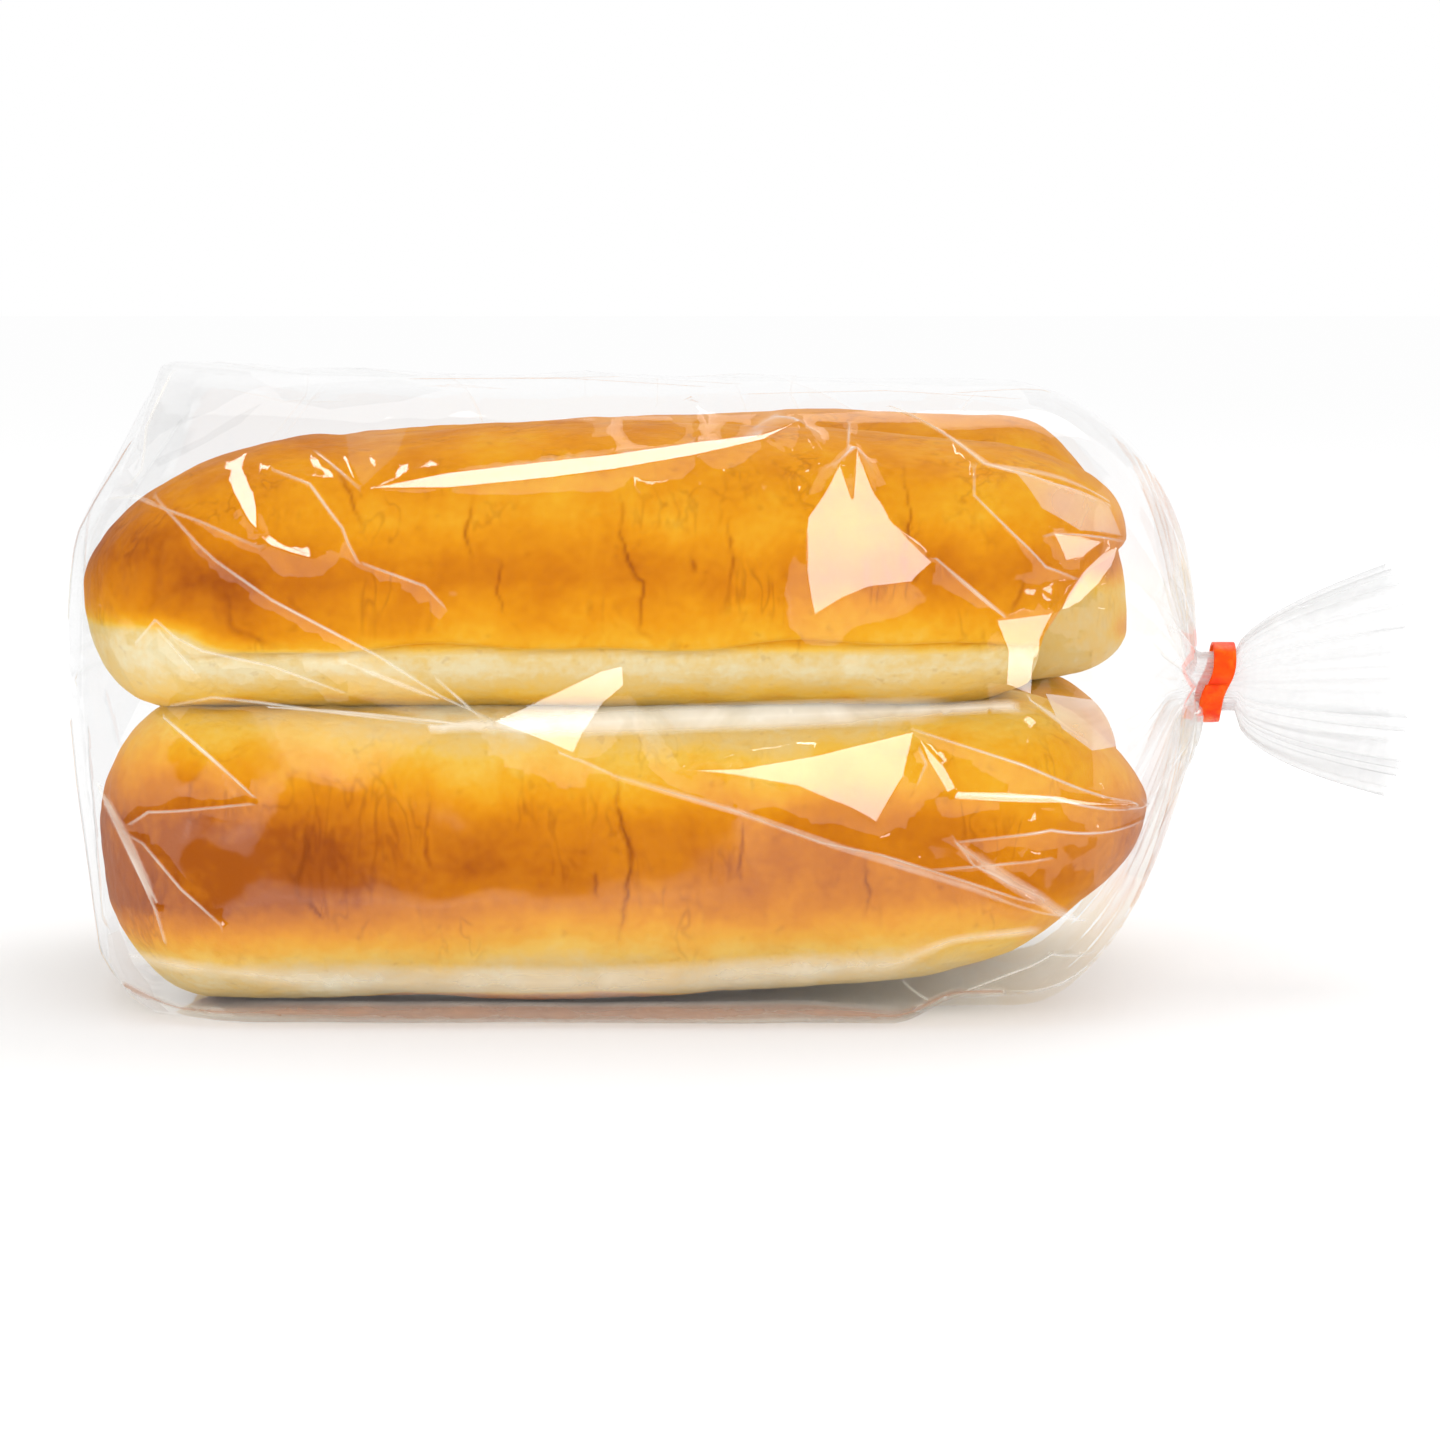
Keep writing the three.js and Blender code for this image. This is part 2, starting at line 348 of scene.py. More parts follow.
def brown_of(spec, points, normals):
    """How brown the crust is at each point."""
    x, z = points[..., 0], points[..., 2]
    uncut = 1 - smooth(CUT_START, CUT_FULL, x)
    drift = 1.6 * noise_at(points, 30.0, 2, spec["seed"] + 20)
    if spec["cut"]:
        z = z + BUNS["bun_upper_front"]["cut"] - spec["cut"]
        z = z - 3.2 * uncut * smooth(46, 56, z)
    else:
        drift = drift + 1.2 * np.abs(np.clip(x + 20, None, 0)) / 75
        z = z - 5.0 * smooth(5, 36, x) * smooth(34, 42, z)
    above = smooth(54, 57, z) if spec["cut"] else 1.0
    brown = between(z + drift * above, BROWN_UPPER if spec["cut"] else BROWN_LOWER)
    brown += 0.09 * noise_at(points, 22.0, 3, spec["seed"] + 30) * above
    faces_out = smooth(-0.95, -0.5, spec["outer"] * normals[..., 1])
    brown *= lerp(0.3, 1.0, faces_out)
    if spec["cut"] and spec["outer"] > 0:
        brown = lerp(brown, 0.17, smooth(42, 48, x) * smooth(64, 58, z))
        brown += 0.4 * bell(np.hypot(x - 60.5, z - 53.2), 2.2)
    left_end = (0.18 if spec["cut"] else 0.26) * smooth(-38, -84, x)
    brown += (left_end + 0.08 * smooth(50, 60, x)) * above * smooth(6, 16, z) * faces_out
    return np.clip(brown, 0.0, 1.0)


def make_bun(name, material):
    spec = BUNS[name]
    steps, around = FRONT_GRID if name in WRINKLES else REAR_GRID
    wrinkles = wrinkles_of(name, spec)
    points = bun_points(spec, row_places(spec, wrinkles, steps), around)
    normals = grid_normals(points)
    faces_out = smooth(0.0, 0.3, spec["outer"] * normals[..., 1])
    push = np.zeros(points.shape[:2])
    for height, size, octaves, shift in LUMPS:
        push += height * noise_at(points, size, octaves, spec["seed"] + shift)
    crack_shade = np.zeros(points.shape[:2])
    shaken = [noise_at(points, RAGGED_SIZE, 3, spec["seed"] + shift) for shift in (40, 50)]
    ragged = RAGGED_REACH * np.stack(shaken, axis=-1)
    for path, width, depth in wrinkles:
        gap, along, side = distance_to_path(points[..., [0, 2]] + ragged, path)
        taper = np.sin(math.pi * np.clip(along, 0.03, 0.97)) ** 0.5 * faces_out
        lip = 0.45 * bell(side * gap + 1.3 * width, 1.2 * width)
        push += depth * taper * (lip - bell(gap, 0.4 * width))
        # Painted shade along the bottom of each crack, darker where the crack is narrow
        crack_shade = np.maximum(crack_shade, bell(gap, 0.4 * width) * taper * min(1.0, 0.55 / width))
    if spec["cut"]:
        x, z = points[..., 0], points[..., 2]
        over = z - (spec["cut"] + 0.6 * np.sin(x / 9.0) + 0.35 * np.sin(x / 4.1) + 0.010 * x)
        begun = smooth(CUT_START, CUT_FULL, x) * faces_out
        push -= (1.1 * bell(over, 0.5) + 0.5 * smooth(1.5, -0.5, over)) * begun
        # Painted shade in the groove of the cut
        crack_shade = np.maximum(crack_shade, 0.5 * bell(over, 0.35) * begun)
    masks = {"crack_shade": crack_shade, "brown": brown_of(spec, points, normals)}
    points = (points + normals * push[..., None]).reshape(-1, 3)
    made = make_object(name, points, grid_faces(steps, around, True), material, masks)
    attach(made, "root")
    return made


# ---------------------------------------------------------------- film: its smooth form
# The film is laid out on a flat sheet: u runs in mm from the folded end to the neck, and v
# from 0 to 1 round the bag, from the middle of its underside up the front and over the top.
SHEET_GIRTH = 390.0
BODY_LENGTH = 135.0
DOME_ARC = 60.0
DOME_X, NECK_X, TAIL_X, TAIL_END_X = 40.0, 69.5, 76.3, 101.6
NECK_Z, NECK_HALF_HEIGHT, NECK_HALF_DEPTH = 44.5, 4.6, 3.8
TAIL_HALF_HEIGHT, TAIL_HALF_DEPTH = 17.8, 9.5
PLAIN_SHEET_END = 0.55  # share of the dome's arc that still belongs to the flat sheet
TOP_RISE = 0.0145  # how much higher the top is at the folded end, as a share
PEAK_RISE, PEAK_LENGTH = 2.0, 12.0  # the peak of the folded end's top edge
RIM_DEPTH_SHARE = 0.84
RIM_TURN = 14.0
RIM_HALF_DEPTH = 45.0
END_BULGE = 5.5  # how far the folded end's middle stands out past its corners
DOME_FULLNESS, LOW_FULLNESS = 0.92, 1.9  # of the dome, and of its underside
CORNER_LIFT = 4.2  # how far the bag's lower front corner is off the ground at the dome

# The middle section, from the middle of the underside to the middle of the top, at the front
SECTION = [
    (0, 0), (-20, 0), (-47, 0.05), (-50.8, 1), (-53, 5), (-53.5, 11), (-53.5, 16), (-52.6, 28),
    (-51.5, 43), (-50.6, 58), (-49.3, 70), (-46.3, 79), (-40, 86), (-30, 89.3), (-14, 90), (0, 90),
]
# How far left the folded end's corner reaches at each level
RIM = [
    (0, -84.5), (1, -86.2), (3, -88.9), (5, -90.3), (8.5, -92.2), (14, -92.7), (20, -93.2),
    (32, -94.4), (46, -95.3), (56, -95.1), (61, -94.8), (66, -94.3), (69, -93.6), (73.7, -91.3),
    (78.6, -88.5), (84, -85.7), (87, -84.1), (90, -82.2), (93, -81),
]


def curve_through(points, steps=24):
    """A smooth curve through points, as a dense polyline."""
    points = np.asarray(points, float)
    padded = np.vstack([2 * points[0] - points[1], points, 2 * points[-1] - points[-2]])
    t = np.linspace(0, 1, steps, endpoint=False)[:, None]
    pieces = []
    for a, b, c, d in zip(padded[:-3], padded[1:-2], padded[2:-1], padded[3:]):
        pieces.append(
            0.5 * (2 * b + (c - a) * t + (2 * a - 5 * b + 4 * c - d) * t**2
                   + (3 * b - a - 3 * c + d) * t**3)
        )
    return np.vstack([*pieces, points[-1:]])


FRONT_HALF = curve_through(SECTION)
OUTLINE = np.vstack([FRONT_HALF, (FRONT_HALF * [-1, 1])[::-1][1:]])
OUTLINE_AT = np.concatenate([[0], np.cumsum(np.linalg.norm(np.diff(OUTLINE, axis=0), axis=1))])
OUTLINE_AT = OUTLINE_AT / OUTLINE_AT[-1]


def section_at(v):
    """The middle section's y and z at a place round the bag."""
    return [np.interp(v % 1.0, OUTLINE_AT, values) for values in OUTLINE.T]


def end_x(y, level):
    """Where the folded end lies along X."""
    return between(level, RIM) - END_BULGE * (1 - (y / RIM_HALF_DEPTH) ** 2)


def film_form(u, v):
    """Points of the film's smooth form, from the folded end to the neck."""
    u, v = np.broadcast_arrays(np.asarray(u, float), np.asarray(v, float))
    y0, z0 = section_at(v)
    along = np.clip(u / BODY_LENGTH, 0, 1)
    turn = np.clip((u - BODY_LENGTH) / DOME_ARC, 0, 1) * math.pi / 2
    closing = np.cos(turn) ** DOME_FULLNESS
    y = y0 * lerp(RIM_DEPTH_SHARE, 1.0, np.sin(np.clip(u / RIM_TURN, 0, 1) * math.pi / 2))
    peak = PEAK_RISE * np.exp(-u / PEAK_LENGTH) * smooth(80, 90, z0) * (1 - (y0 / 48) ** 2)
    z = z0 * (1 + TOP_RISE * (1 - along)) + peak
    dome_x = lerp(DOME_X, NECK_X, np.sin(turn) ** DOME_FULLNESS)
    x = np.where(turn > 0, dome_x, lerp(end_x(y, z0), DOME_X, along))
    facing = np.arctan2(z0 - NECK_Z, y0)
    y = lerp(NECK_HALF_DEPTH * np.cos(facing), y, closing)
    rising = np.cos(turn) ** lerp(LOW_FULLNESS, DOME_FULLNESS, smooth(0, NECK_Z, z0))
    z = lerp(NECK_Z + NECK_HALF_HEIGHT * np.sin(facing), z, rising)
    corner = smooth(34, 50, -y0) * (1 - smooth(3, 20, z0)) * closing
    z = z + CORNER_LIFT * corner * smooth(BODY_LENGTH - 20, BODY_LENGTH - 8, u)
    return np.stack([x, y, z], axis=-1)


def film_normals(u, v):
    step = 0.4  # mm on the sheet
    du = film_form(u + step, v) - film_form(np.maximum(u - step, 0), v)
    dv = film_form(u, v + step / SHEET_GIRTH) - film_form(u, v - step / SHEET_GIRTH)
    normals = np.cross(du, dv)
    return normals / np.maximum(np.linalg.norm(normals, axis=-1, keepdims=True), 1e-9)


FRONT_SPAN = (0.143, 0.47)  # the part round the bag that shows at the front
LOWEST_V, HIGHEST_V = 0.1415, 0.5
FRONT_U, FRONT_V = np.meshgrid(
    np.linspace(0, BODY_LENGTH + DOME_ARC * 0.9, 180), np.linspace(*FRONT_SPAN, 160)
)
FRONT_PX = to_px(film_form(FRONT_U, FRONT_V))


def on_sheet(px, py):
    """The place on the flat sheet (mm, mm) whose film covers a pixel at the front."""
    target = np.array([px, py], float)
    nearest = np.argmin(((FRONT_PX - target) ** 2).sum(axis=-1))
    u, v = FRONT_U.flat[nearest], FRONT_V.flat[nearest]
    for _ in range(3):
        here = to_px(film_form(u, v))
        du = to_px(film_form(u + 0.5, v)) - here
        dv = to_px(film_form(u, v + 0.001)) - here
        move = np.linalg.lstsq(np.stack([du, dv], axis=1), target - here, rcond=None)[0]
        u = float(np.clip(u + np.clip(move[0] * 0.5, -4, 4), 0.3, BODY_LENGTH + DOME_ARC))
        v = float(np.clip(v + np.clip(move[1] * 0.001, -0.01, 0.01), LOWEST_V, HIGHEST_V))
    return u, v * SHEET_GIRTH


def sheet_places(path):
    return np.array([on_sheet(*place) for place in path])


# ---------------------------------------------------------------- film: creases and facets
# Creases at the front: how sharply each is pinched (mm), and its path as px with the
# film's rise there (mm)
CREASES = [
    (0.24, [(157, 498, 0.2), (215, 560, 0.5), (272, 600, 0.6), (379, 656, 0.7), (443, 697, 0.6),
        (493, 720, 0.5)]),
    (0.20, [(578, 758, 0.2), (616, 776, 0.25), (739, 812, 0.45), (820, 842, 0.8),
        (882, 855, 0.8), (971, 883, 0.8), (1045, 905, 0.6), (1085, 920, 0.3)]),
    (0.18, [(139, 499, 0.2), (200, 522, 0.5), (259, 547, 0.3)]),
    (0.22, [(364, 564, 0.4), (425, 586, 0.6), (443, 605, 0.3)]),
    (0.22, [(273, 471, 0.35), (310, 485, 0.4), (343, 529, 0.6), (358, 562, 0.3)]),
    (0.16, [(316, 452, 0.1), (358, 488, 0.15)]),
    (0.0, [(372, 440, 0.55), (374, 477, 0.5)]),
    (0.0, [(402, 436, -0.1), (403, 472, 0.05)]),
    (0.0, [(437, 434, 0.4), (438, 466, 0.45)]),
    (0.0, [(470, 432, -0.1), (471, 462, 0.1)]),
    (0.22, [(936, 559, 0.8), (1004, 615, 0.6)]),
    (0.24, [(890, 409, 0.3), (984, 465, 0.3), (1050, 484, 0.3), (1109, 506, 0.2)]),
    (0.20, [(974, 470, 0.25), (974, 496, 0.3), (1045, 567, 0.5), (1078, 580, 0.2)]),
    (0.18, [(1045, 536, 0.2), (1122, 542, 0.4)]),
    (0.20, [(437, 679, 0.2), (484, 720, 0.4)]),
    (0.24, [(915, 730, 0.6), (1020, 764, 0.7), (1129, 801, 0.2)]),
    (0.24, [(956, 794, 0.4), (1050, 797, 0.6), (1147, 804, 0.2)]),
    (0.22, [(1147, 817, 0.2), (1050, 830, 0.6), (958, 842, 0.4)]),
    (0.18, [(933, 870, 0.2), (1050, 858, 0.5)]),
    (0.22, [(956, 842, 0.4), (974, 865, 0.5), (1045, 898, 0.5)]),
    (0.18, [(919, 748, 0.6), (926, 764, 0.2), (919, 780, 0.6)]),
    (0.22, [(172, 705, 0.2), (213, 697, 0.5), (259, 702, 0.5), (330, 712, 0.4), (443, 725, 0.3)]),
    (0.34, [(165, 717, 0.2), (210, 756, 0.4), (251, 794, 0.3)]),
    (0.22, [(251, 804, 0.2), (149, 812, 0.2), (131, 824, 0.1)]),
    (0.22, [(137, 643, 0.2), (157, 620, 0.5), (177, 638, 0.3), (203, 651, 0.5), (272, 666, 0.4),
        (343, 692, 0.3)]),
    (0.20, [(160, 631, 0.2), (193, 669, 0.4)]),
    (0.26, [(101, 789, 0.1), (121, 830, 0.4), (158, 910, 0.5), (166, 941, 0.2)]),
    (0.24, [(126, 833, 0.1), (144, 843, 0.25), (182, 889, 0.3), (221, 925, 0.2)]),
    (0.22, [(904, 982, 0.1), (931, 1000, 0.2), (965, 988, 0.4), (1051, 953, 0.5),
        (1092, 951, 0.2)]),
    (0.20, [(1014, 990, 0.1), (1073, 977, 0.2), (1092, 963, 0.2)]),
    (0.22, [(174, 372, 0.1), (148, 430, 0.5), (144, 471, 0.5), (132, 485, 0.2)]),
    (0.18, [(110, 499, 0.1), (138, 497, 0.4), (156, 504, 0.3)]),
    (0.20, [(849, 426, 0.2), (848, 450, 0.6)]),
]

# Flat facets at the front that catch a light: which light, their outline in px, and the
# lowest rise
FACETS = [
    ("right", [(838, 478), (825, 498), (807, 521), (808, 585), (814, 615), (842, 598),
        (869, 587), (910, 582), (932, 562), (892, 524), (872, 495), (855, 466), (852, 505),
        (843, 485)], 0.2),
    ("right", [(996, 620), (1052, 613), (1040, 636), (1032, 660), (1031, 694), (1006, 684),
        (1008, 650)], 0.2),
    ("right", [(495, 720), (560, 690), (600, 671), (622, 666), (623, 684), (604, 702),
        (583, 733), (574, 753), (540, 738)], 0.2),
    ("right", [(686, 768), (740, 767), (813, 755), (914, 731), (903, 776), (876, 821),
        (848, 806), (829, 799), (797, 785), (734, 774)], 0.2),
    ("top", [(365, 489), (449, 474), (541, 466), (614, 461), (696, 453), (763, 449), (799, 441),
        (763, 454), (696, 465), (614, 476), (541, 483), (449, 490)], 0.12),
    ("top", [(247, 452), (237, 461), (231, 474), (232, 490), (240, 506), (250, 524), (259, 533),
        (258, 516), (253, 493), (247, 479), (242, 467)], 0.12),
    ("top", [(259, 535), (270, 546), (290, 553), (315, 560), (284, 545), (270, 535)], 0.12),
    ("side", [(1116, 546), (1100, 555), (1082, 571), (1064, 596), (1057, 611), (1077, 603),
        (1098, 584), (1111, 565)], 0.2),
    ("side", [(1050, 535), (1078, 537), (1102, 542), (1082, 557), (1064, 561)], 0.2),
    ("right", [(953, 799), (957, 791), (1010, 792), (1060, 796), (1118, 803), (1060, 803),
        (1000, 802)], 0.2),
    ("right", [(919, 738), (943, 766), (955, 788), (947, 792), (930, 764)], 0.2),
    ("top", [(309, 459), (317, 461), (314, 468)], 0.1),
    ("top", [(321, 467), (328, 470), (334, 479), (325, 475)], 0.1),
]
# Softboxes: their middle (mm), width and height (m), and brightness
LIGHTS = {
    "top": ((-120.0, -420.0, 760.0), (0.16, 0.05), 14.0),
    "right": ((190.0, -700.0, 100.0), (0.085, 0.06), 9.0),
    "side": ((700.0, -290.0, 110.0), (0.05, 0.05), 8.0),
    "fill": ((-260.0, -760.0, 160.0), (0.34, 0.24), 3.6),
    "behind": ((260.0, 420.0, 800.0), (0.5, 0.5), 1.6),
}
# Where a light shows: in the film's reflections, in the shading, or in both
REFLECTED, SHADING = ("top", "right", "side", "behind"), ("right", "side", "fill", "behind")
# Milky bands in the film: half their width (mm), how milky they are, how much they take the
# film's painted tint, and their px path. Along creases they are partly the film's own
# whitening and partly painted highlights; others are painted light, as noted beside them.
MILKY_AND_PAINTED_LIGHT_BANDS = [
    (0.65, 0.26, 0, [(560, 752), (616, 776), (739, 812), (837, 846), (975, 889), (1074, 915)]),
    (1.3, 0.34, 0, [(956, 843), (990, 868), (1040, 899), (1082, 920)]),
    (0.8, 0.42, 0, [(99, 785), (126, 836), (142, 870), (158, 902)]),
    # A painted highlight on the lower bun's top, which also lightens the shade between the buns
    (2.4, 0.55, 0, [(430, 727), (620, 721), (760, 716), (900, 711), (1010, 706)]),
    # The next two are painted highlights along bright streaks
    (0.35, 0.45, 0, [(164, 718), (210, 757), (253, 796)]),
    (0.35, 0.5, 0, [(269, 707), (330, 711), (386, 716), (480, 726)]),
    (0.5, 0.3, 0, [(348, 663), (400, 684), (437, 698)]),
    (0.5, 0.3, 0, [(890, 410), (989, 466), (1110, 501)]),
    (0.4, 0.4, 0, [(936, 559), (970, 588), (1004, 617)]),
    (0.5, 0.36, 0, [(1030, 700), (1058, 720), (1087, 742)]),
    # Painted brown reflection of the bun's underside, with its shadow, in the film at the bottom
    (2.4, 0.72, 1, [(120, 985), (180, 1008), (300, 1013), (600, 1014), (800, 1012), (1000, 1002)]),
    # Painted pale light over the shaded underside of the lower bun
    (2.8, 0.3, 0, [(130, 955), (300, 980), (600, 983), (900, 962), (1030, 930)]),
]
# Panels at the front: how milky, smoky and tinted they are, and their outline in px. The
# smoky ones grey the film where it lies double; the milky ones are painted reflections of the
# pale surroundings, and the corner panel paints a shadow and the bun's brown reflection.
PANELS = [
    (0, 1, 0, [(171, 364), (249, 374), (268, 386), (215, 411), (160, 436), (148, 449),
        (128, 470), (112, 486), (118, 462), (134, 425), (152, 393)]),
    (0, 1, 0, [(112, 486), (128, 470), (140, 486), (124, 500), (108, 520), (98, 548), (100, 600),
        (112, 650), (140, 700), (120, 740), (104, 790), (102, 850), (120, 930), (104, 935),
        (95, 880), (84, 800), (78, 700), (78, 600), (84, 548), (95, 512)]),
    (0, 1, 0, [(272, 389), (399, 380), (443, 391), (404, 401), (330, 409), (284, 401)]),
    (0, 1, 0, [(155, 462), (205, 438), (262, 404), (240, 424), (205, 444), (160, 468)]),
    (0, 1, 0, [(1015, 388), (1060, 397), (1110, 425), (1150, 470), (1128, 466), (1080, 430),
        (1030, 405)]),
    (0, 1, 0, [(1150, 482), (1178, 545), (1192, 620), (1176, 630), (1160, 560)]),
    (0, 1, 0, [(1146, 880), (1178, 810), (1190, 740), (1172, 740), (1155, 810), (1126, 872)]),
    # Milky panels: painted reflections of the pale surroundings
    (0.26, 0, 0, [(1014, 470), (1050, 485), (1108, 507), (1120, 535), (1080, 530), (1042, 508)]),
    (0.06, 0, 0, [(346, 434), (408, 424), (396, 455), (363, 486), (350, 462)]),
    (0.3, 0, 0, [(1046, 694), (1108, 702), (1116, 746), (1092, 750), (1062, 728)]),
    # Painted shadow and brown reflection of the bun, where the film's corner lies over the floor
    (0.16, 1, 0.8, [(104, 935), (120, 930), (150, 985), (182, 1020), (157, 1013), (135, 1002),
        (103, 959)]),
]
TOP_SMOKE = (0.505, 0.60, 0.8)  # from and to where round the bag, and how smoky, over the top
PINCH_HALF = 0.32  # half the width of a pinched crease
LOOSE_COUNT = 150  # places between the creases where the film rises or sinks a little
LOOSE_RISE_FRONT, LOOSE_RISE_BACK = 0.15, 0.4
LOOSE_GAP = 6.6
LOOSE_TRIES = 6000
BACK_CREASES = 30
# Their heading, length (mm) and bend, each from and to
BACK_CREASE_SPANS = [(0, math.pi), (18, 60), (-0.5, 0.5)]
BACK_END_RISE = 0.1  # at both ends of each

# Pleats: each is a fold of film between two ridges, deepest half way between them
PLEATS = 30
PLEAT_COLUMNS = 8
pleat_widths = 1 + 0.45 * rng.uniform(-1, 1, PLEATS)
PLEAT_V = np.concatenate([[0], np.cumsum(pleat_widths) / pleat_widths.sum()])
PLEAT_START = rng.uniform(0.05, 0.42, PLEATS)
PLEAT_DEEP = rng.uniform(0.55, 1.0, PLEATS)
SHEET_END = BODY_LENGTH + DOME_ARC * PLAIN_SHEET_END
# Where the pleats' grid lines lie round the bag
COLUMN_V = np.interp(
    np.arange(PLEATS * PLEAT_COLUMNS) / PLEAT_COLUMNS, np.arange(PLEATS + 1), PLEAT_V
)


def pleat_depth(q, k):
    """Depth of pleat k at share q of the dome's arc."""
    return PLEAT_DEEP[k] * 2.4 * smooth(PLEAT_START[k], 0.95, q) * (1 - 0.65 * smooth(0.85, 1.0, q))


def in_outline(places, corners):
    """Which places on the sheet lie in an outline or on it."""
    inside = np.zeros(len(places), bool)
    x, y = places.T
    for (x1, y1), (x2, y2) in zip(corners, np.roll(corners, -1, axis=0)):
        if y1 != y2:
            crosses = (y1 > y) != (y2 > y)
            inside ^= crosses & (x < (x2 - x1) * (y - y1) / (y2 - y1) + x1)
    edge, _, _ = distance_to_path(places, [*corners, corners[0]])
    return inside | (edge < 0.02)


def film_at(places):
    """The film's smooth form and its normals at places on the sheet."""
    u, v = places[:, 0], places[:, 1] / SHEET_GIRTH
    return film_form(u, v), film_normals(u, v)


class Facet:
    """A flat place in the film, turned to mirror a light into the camera."""

    def __init__(self, light, outline, lowest):
        self.places = sheet_places(outline)
        form, normals = film_at(self.places)
        self.middle = form.mean(axis=0)
        to_camera = CAMERA_AT - self.middle
        to_light = np.array(LIGHTS[light][0]) - self.middle
        facing = to_camera / np.linalg.norm(to_camera) + to_light / np.linalg.norm(to_light)
        self.facing = facing / np.linalg.norm(facing)
        leans = normals @ self.facing
        self.lift = (lowest * leans + (form - self.middle) @ self.facing).max()
        corners = np.column_stack([self.places, self.rises(form, normals)])
        self.edge = [*corners, corners[0]]

    def rises(self, form, normals):
        """How far the facet lies from the film's smooth form."""
        return (self.lift - (form - self.middle) @ self.facing) / (normals @ self.facing)


def in_a_facet(place):
    return any(in_outline(place[None], facet.places)[0] for facet in FACET_PLACES)


PANEL_PLACES = [(*looks, sheet_places(outline)) for *looks, outline in PANELS]
BAND_PLACES = [(*looks, sheet_places(path)) for *looks, path in MILKY_AND_PAINTED_LIGHT_BANDS]
FACET_EDGE = 0.15  # how far inside its outline a facet is quite flat
FACET_PLACES = [Facet(*facet) for facet in FACETS]


def front_network():
    """Every crease at the front as (pinch, [(sheet x, sheet y, rise), ...])."""
    lines = []
    for pinch, path in CREASES:
        lines.append((pinch, [(*on_sheet(px, py), rise) for px, py, rise in path]))
    return lines + [(0.0, facet.edge) for facet in FACET_PLACES]


def back_network():
    """Long creases over the top, the back and the front's far ends, laid out by chance."""
    lines = []
    for _ in range(BACK_CREASES):
        u, v = rng.uniform(4, BODY_LENGTH + 10), rng.uniform(0.42, 0.86)
        heading, length, bend = (rng.uniform(*span) for span in BACK_CREASE_SPANS)
        path = []
        for share in (0, 0.5, 1):
            turned = heading + bend * share
            x = u + math.cos(turned) * length * (share - 0.5)
            y = v * SHEET_GIRTH + math.sin(turned) * length * (share - 0.5)
            rise = (BACK_END_RISE, rng.uniform(0.5, 1.1), BACK_END_RISE)[int(share * 2)]
            if 1 < x < SHEET_END - 22 and 0.40 < y / SHEET_GIRTH < 0.88:
                path.append((x, y, rise))
        if len(path) > 1:
            lines.append((rng.uniform(0.05, 0.13), path))
    return lines


def pleat_network():
    """The pleats' ridges and valleys, up to the sheet's end."""
    lines = []
    for k in range(PLEATS):
        ridge, valley = PLEAT_V[k] * SHEET_GIRTH, (PLEAT_V[k] + PLEAT_V[k + 1]) / 2 * SHEET_GIRTH
        start = BODY_LENGTH + DOME_ARC * PLEAT_START[k]
        if k > 0:
            lines.append((0.0, [(start, ridge, 0.0), (SHEET_END, ridge, 0.0)]))
        shares = np.linspace(PLEAT_START[k], PLAIN_SHEET_END, 4)
        path = [(BODY_LENGTH + DOME_ARC * q, valley, -pleat_depth(q, k)) for q in shares]
        lines.append((0.0, path))
    return lines


def network_rises(lines, loose, places):
    """The film's rise at places on the sheet, straight between creases and loose places."""
    points, edges = [], []
    for _, path in lines:
        edges += [(i, i + 1) for i in range(len(points), len(points) + len(path) - 1)]
        points += path
    points += loose
    corners, faces, sources = triangulated([p[:2] for p in points], edges, merge=1e-4)
    starts = np.array([points[i] for i, _ in edges])
    spans = np.array([points[j] for _, j in edges]) - starts
    levels = np.zeros(len(corners))
    for i, corner in enumerate(corners):
        if sources[i]:
            levels[i] = points[sources[i][0]][2]
            continue
        offsets, flat = corner - starts[:, :2], spans[:, :2]
        share = np.clip((offsets * flat).sum(axis=1) / (flat**2).sum(axis=1), 0, 1)
        nearest = np.argmin(np.linalg.norm(offsets - share[:, None] * flat, axis=1))
        levels[i] = starts[nearest, 2] + spans[nearest, 2] * share[nearest]
    rises = np.zeros(len(places))
    for face in faces:
        a, b, c = corners[list(face)]
        low, high = np.min([a, b, c], axis=0) - 1e-3, np.max([a, b, c], axis=0) + 1e-3
        near = np.flatnonzero(((places >= low) & (places <= high)).all(axis=1))
        area = cross(b - a, c - a)
        if abs(area) < 1e-9 or not len(near):
            continue
        p = places[near] - a
        s, t = cross(p, c - a) / area, cross(b - a, p) / area
        inside = (s >= -1e-6) & (t >= -1e-6) & (s + t <= 1 + 1e-6)
        found = np.stack([1 - s - t, s, t], axis=1) @ levels[list(face)]
        rises[near[inside]] = found[inside]
    return rises


# The places round a facet: how far out, how far from any crease, and their rise (mm)
ANCHOR_GAP, ANCHOR_CLEAR, ANCHOR_RISE = 4.0, 1.6, 0.1


def facet_anchors(taken):
    """Low places close round each facet, which keep its tilt from spreading."""
    anchors = []
    for facet in FACET_PLACES:
        middle = facet.places.mean(axis=0)
        between_corners = (facet.places + np.roll(facet.places, -1, axis=0)) / 2
        for place in [*facet.places, *between_corners]:
            anchor = place + (place - middle) / np.linalg.norm(place - middle) * ANCHOR_GAP
            clear = gaps([anchor], taken)[0] > ANCHOR_CLEAR and not in_a_facet(anchor)
            if clear and 2 < anchor[0] < SHEET_END - 2:
                anchors.append((*anchor, ANCHOR_RISE))
    return anchors


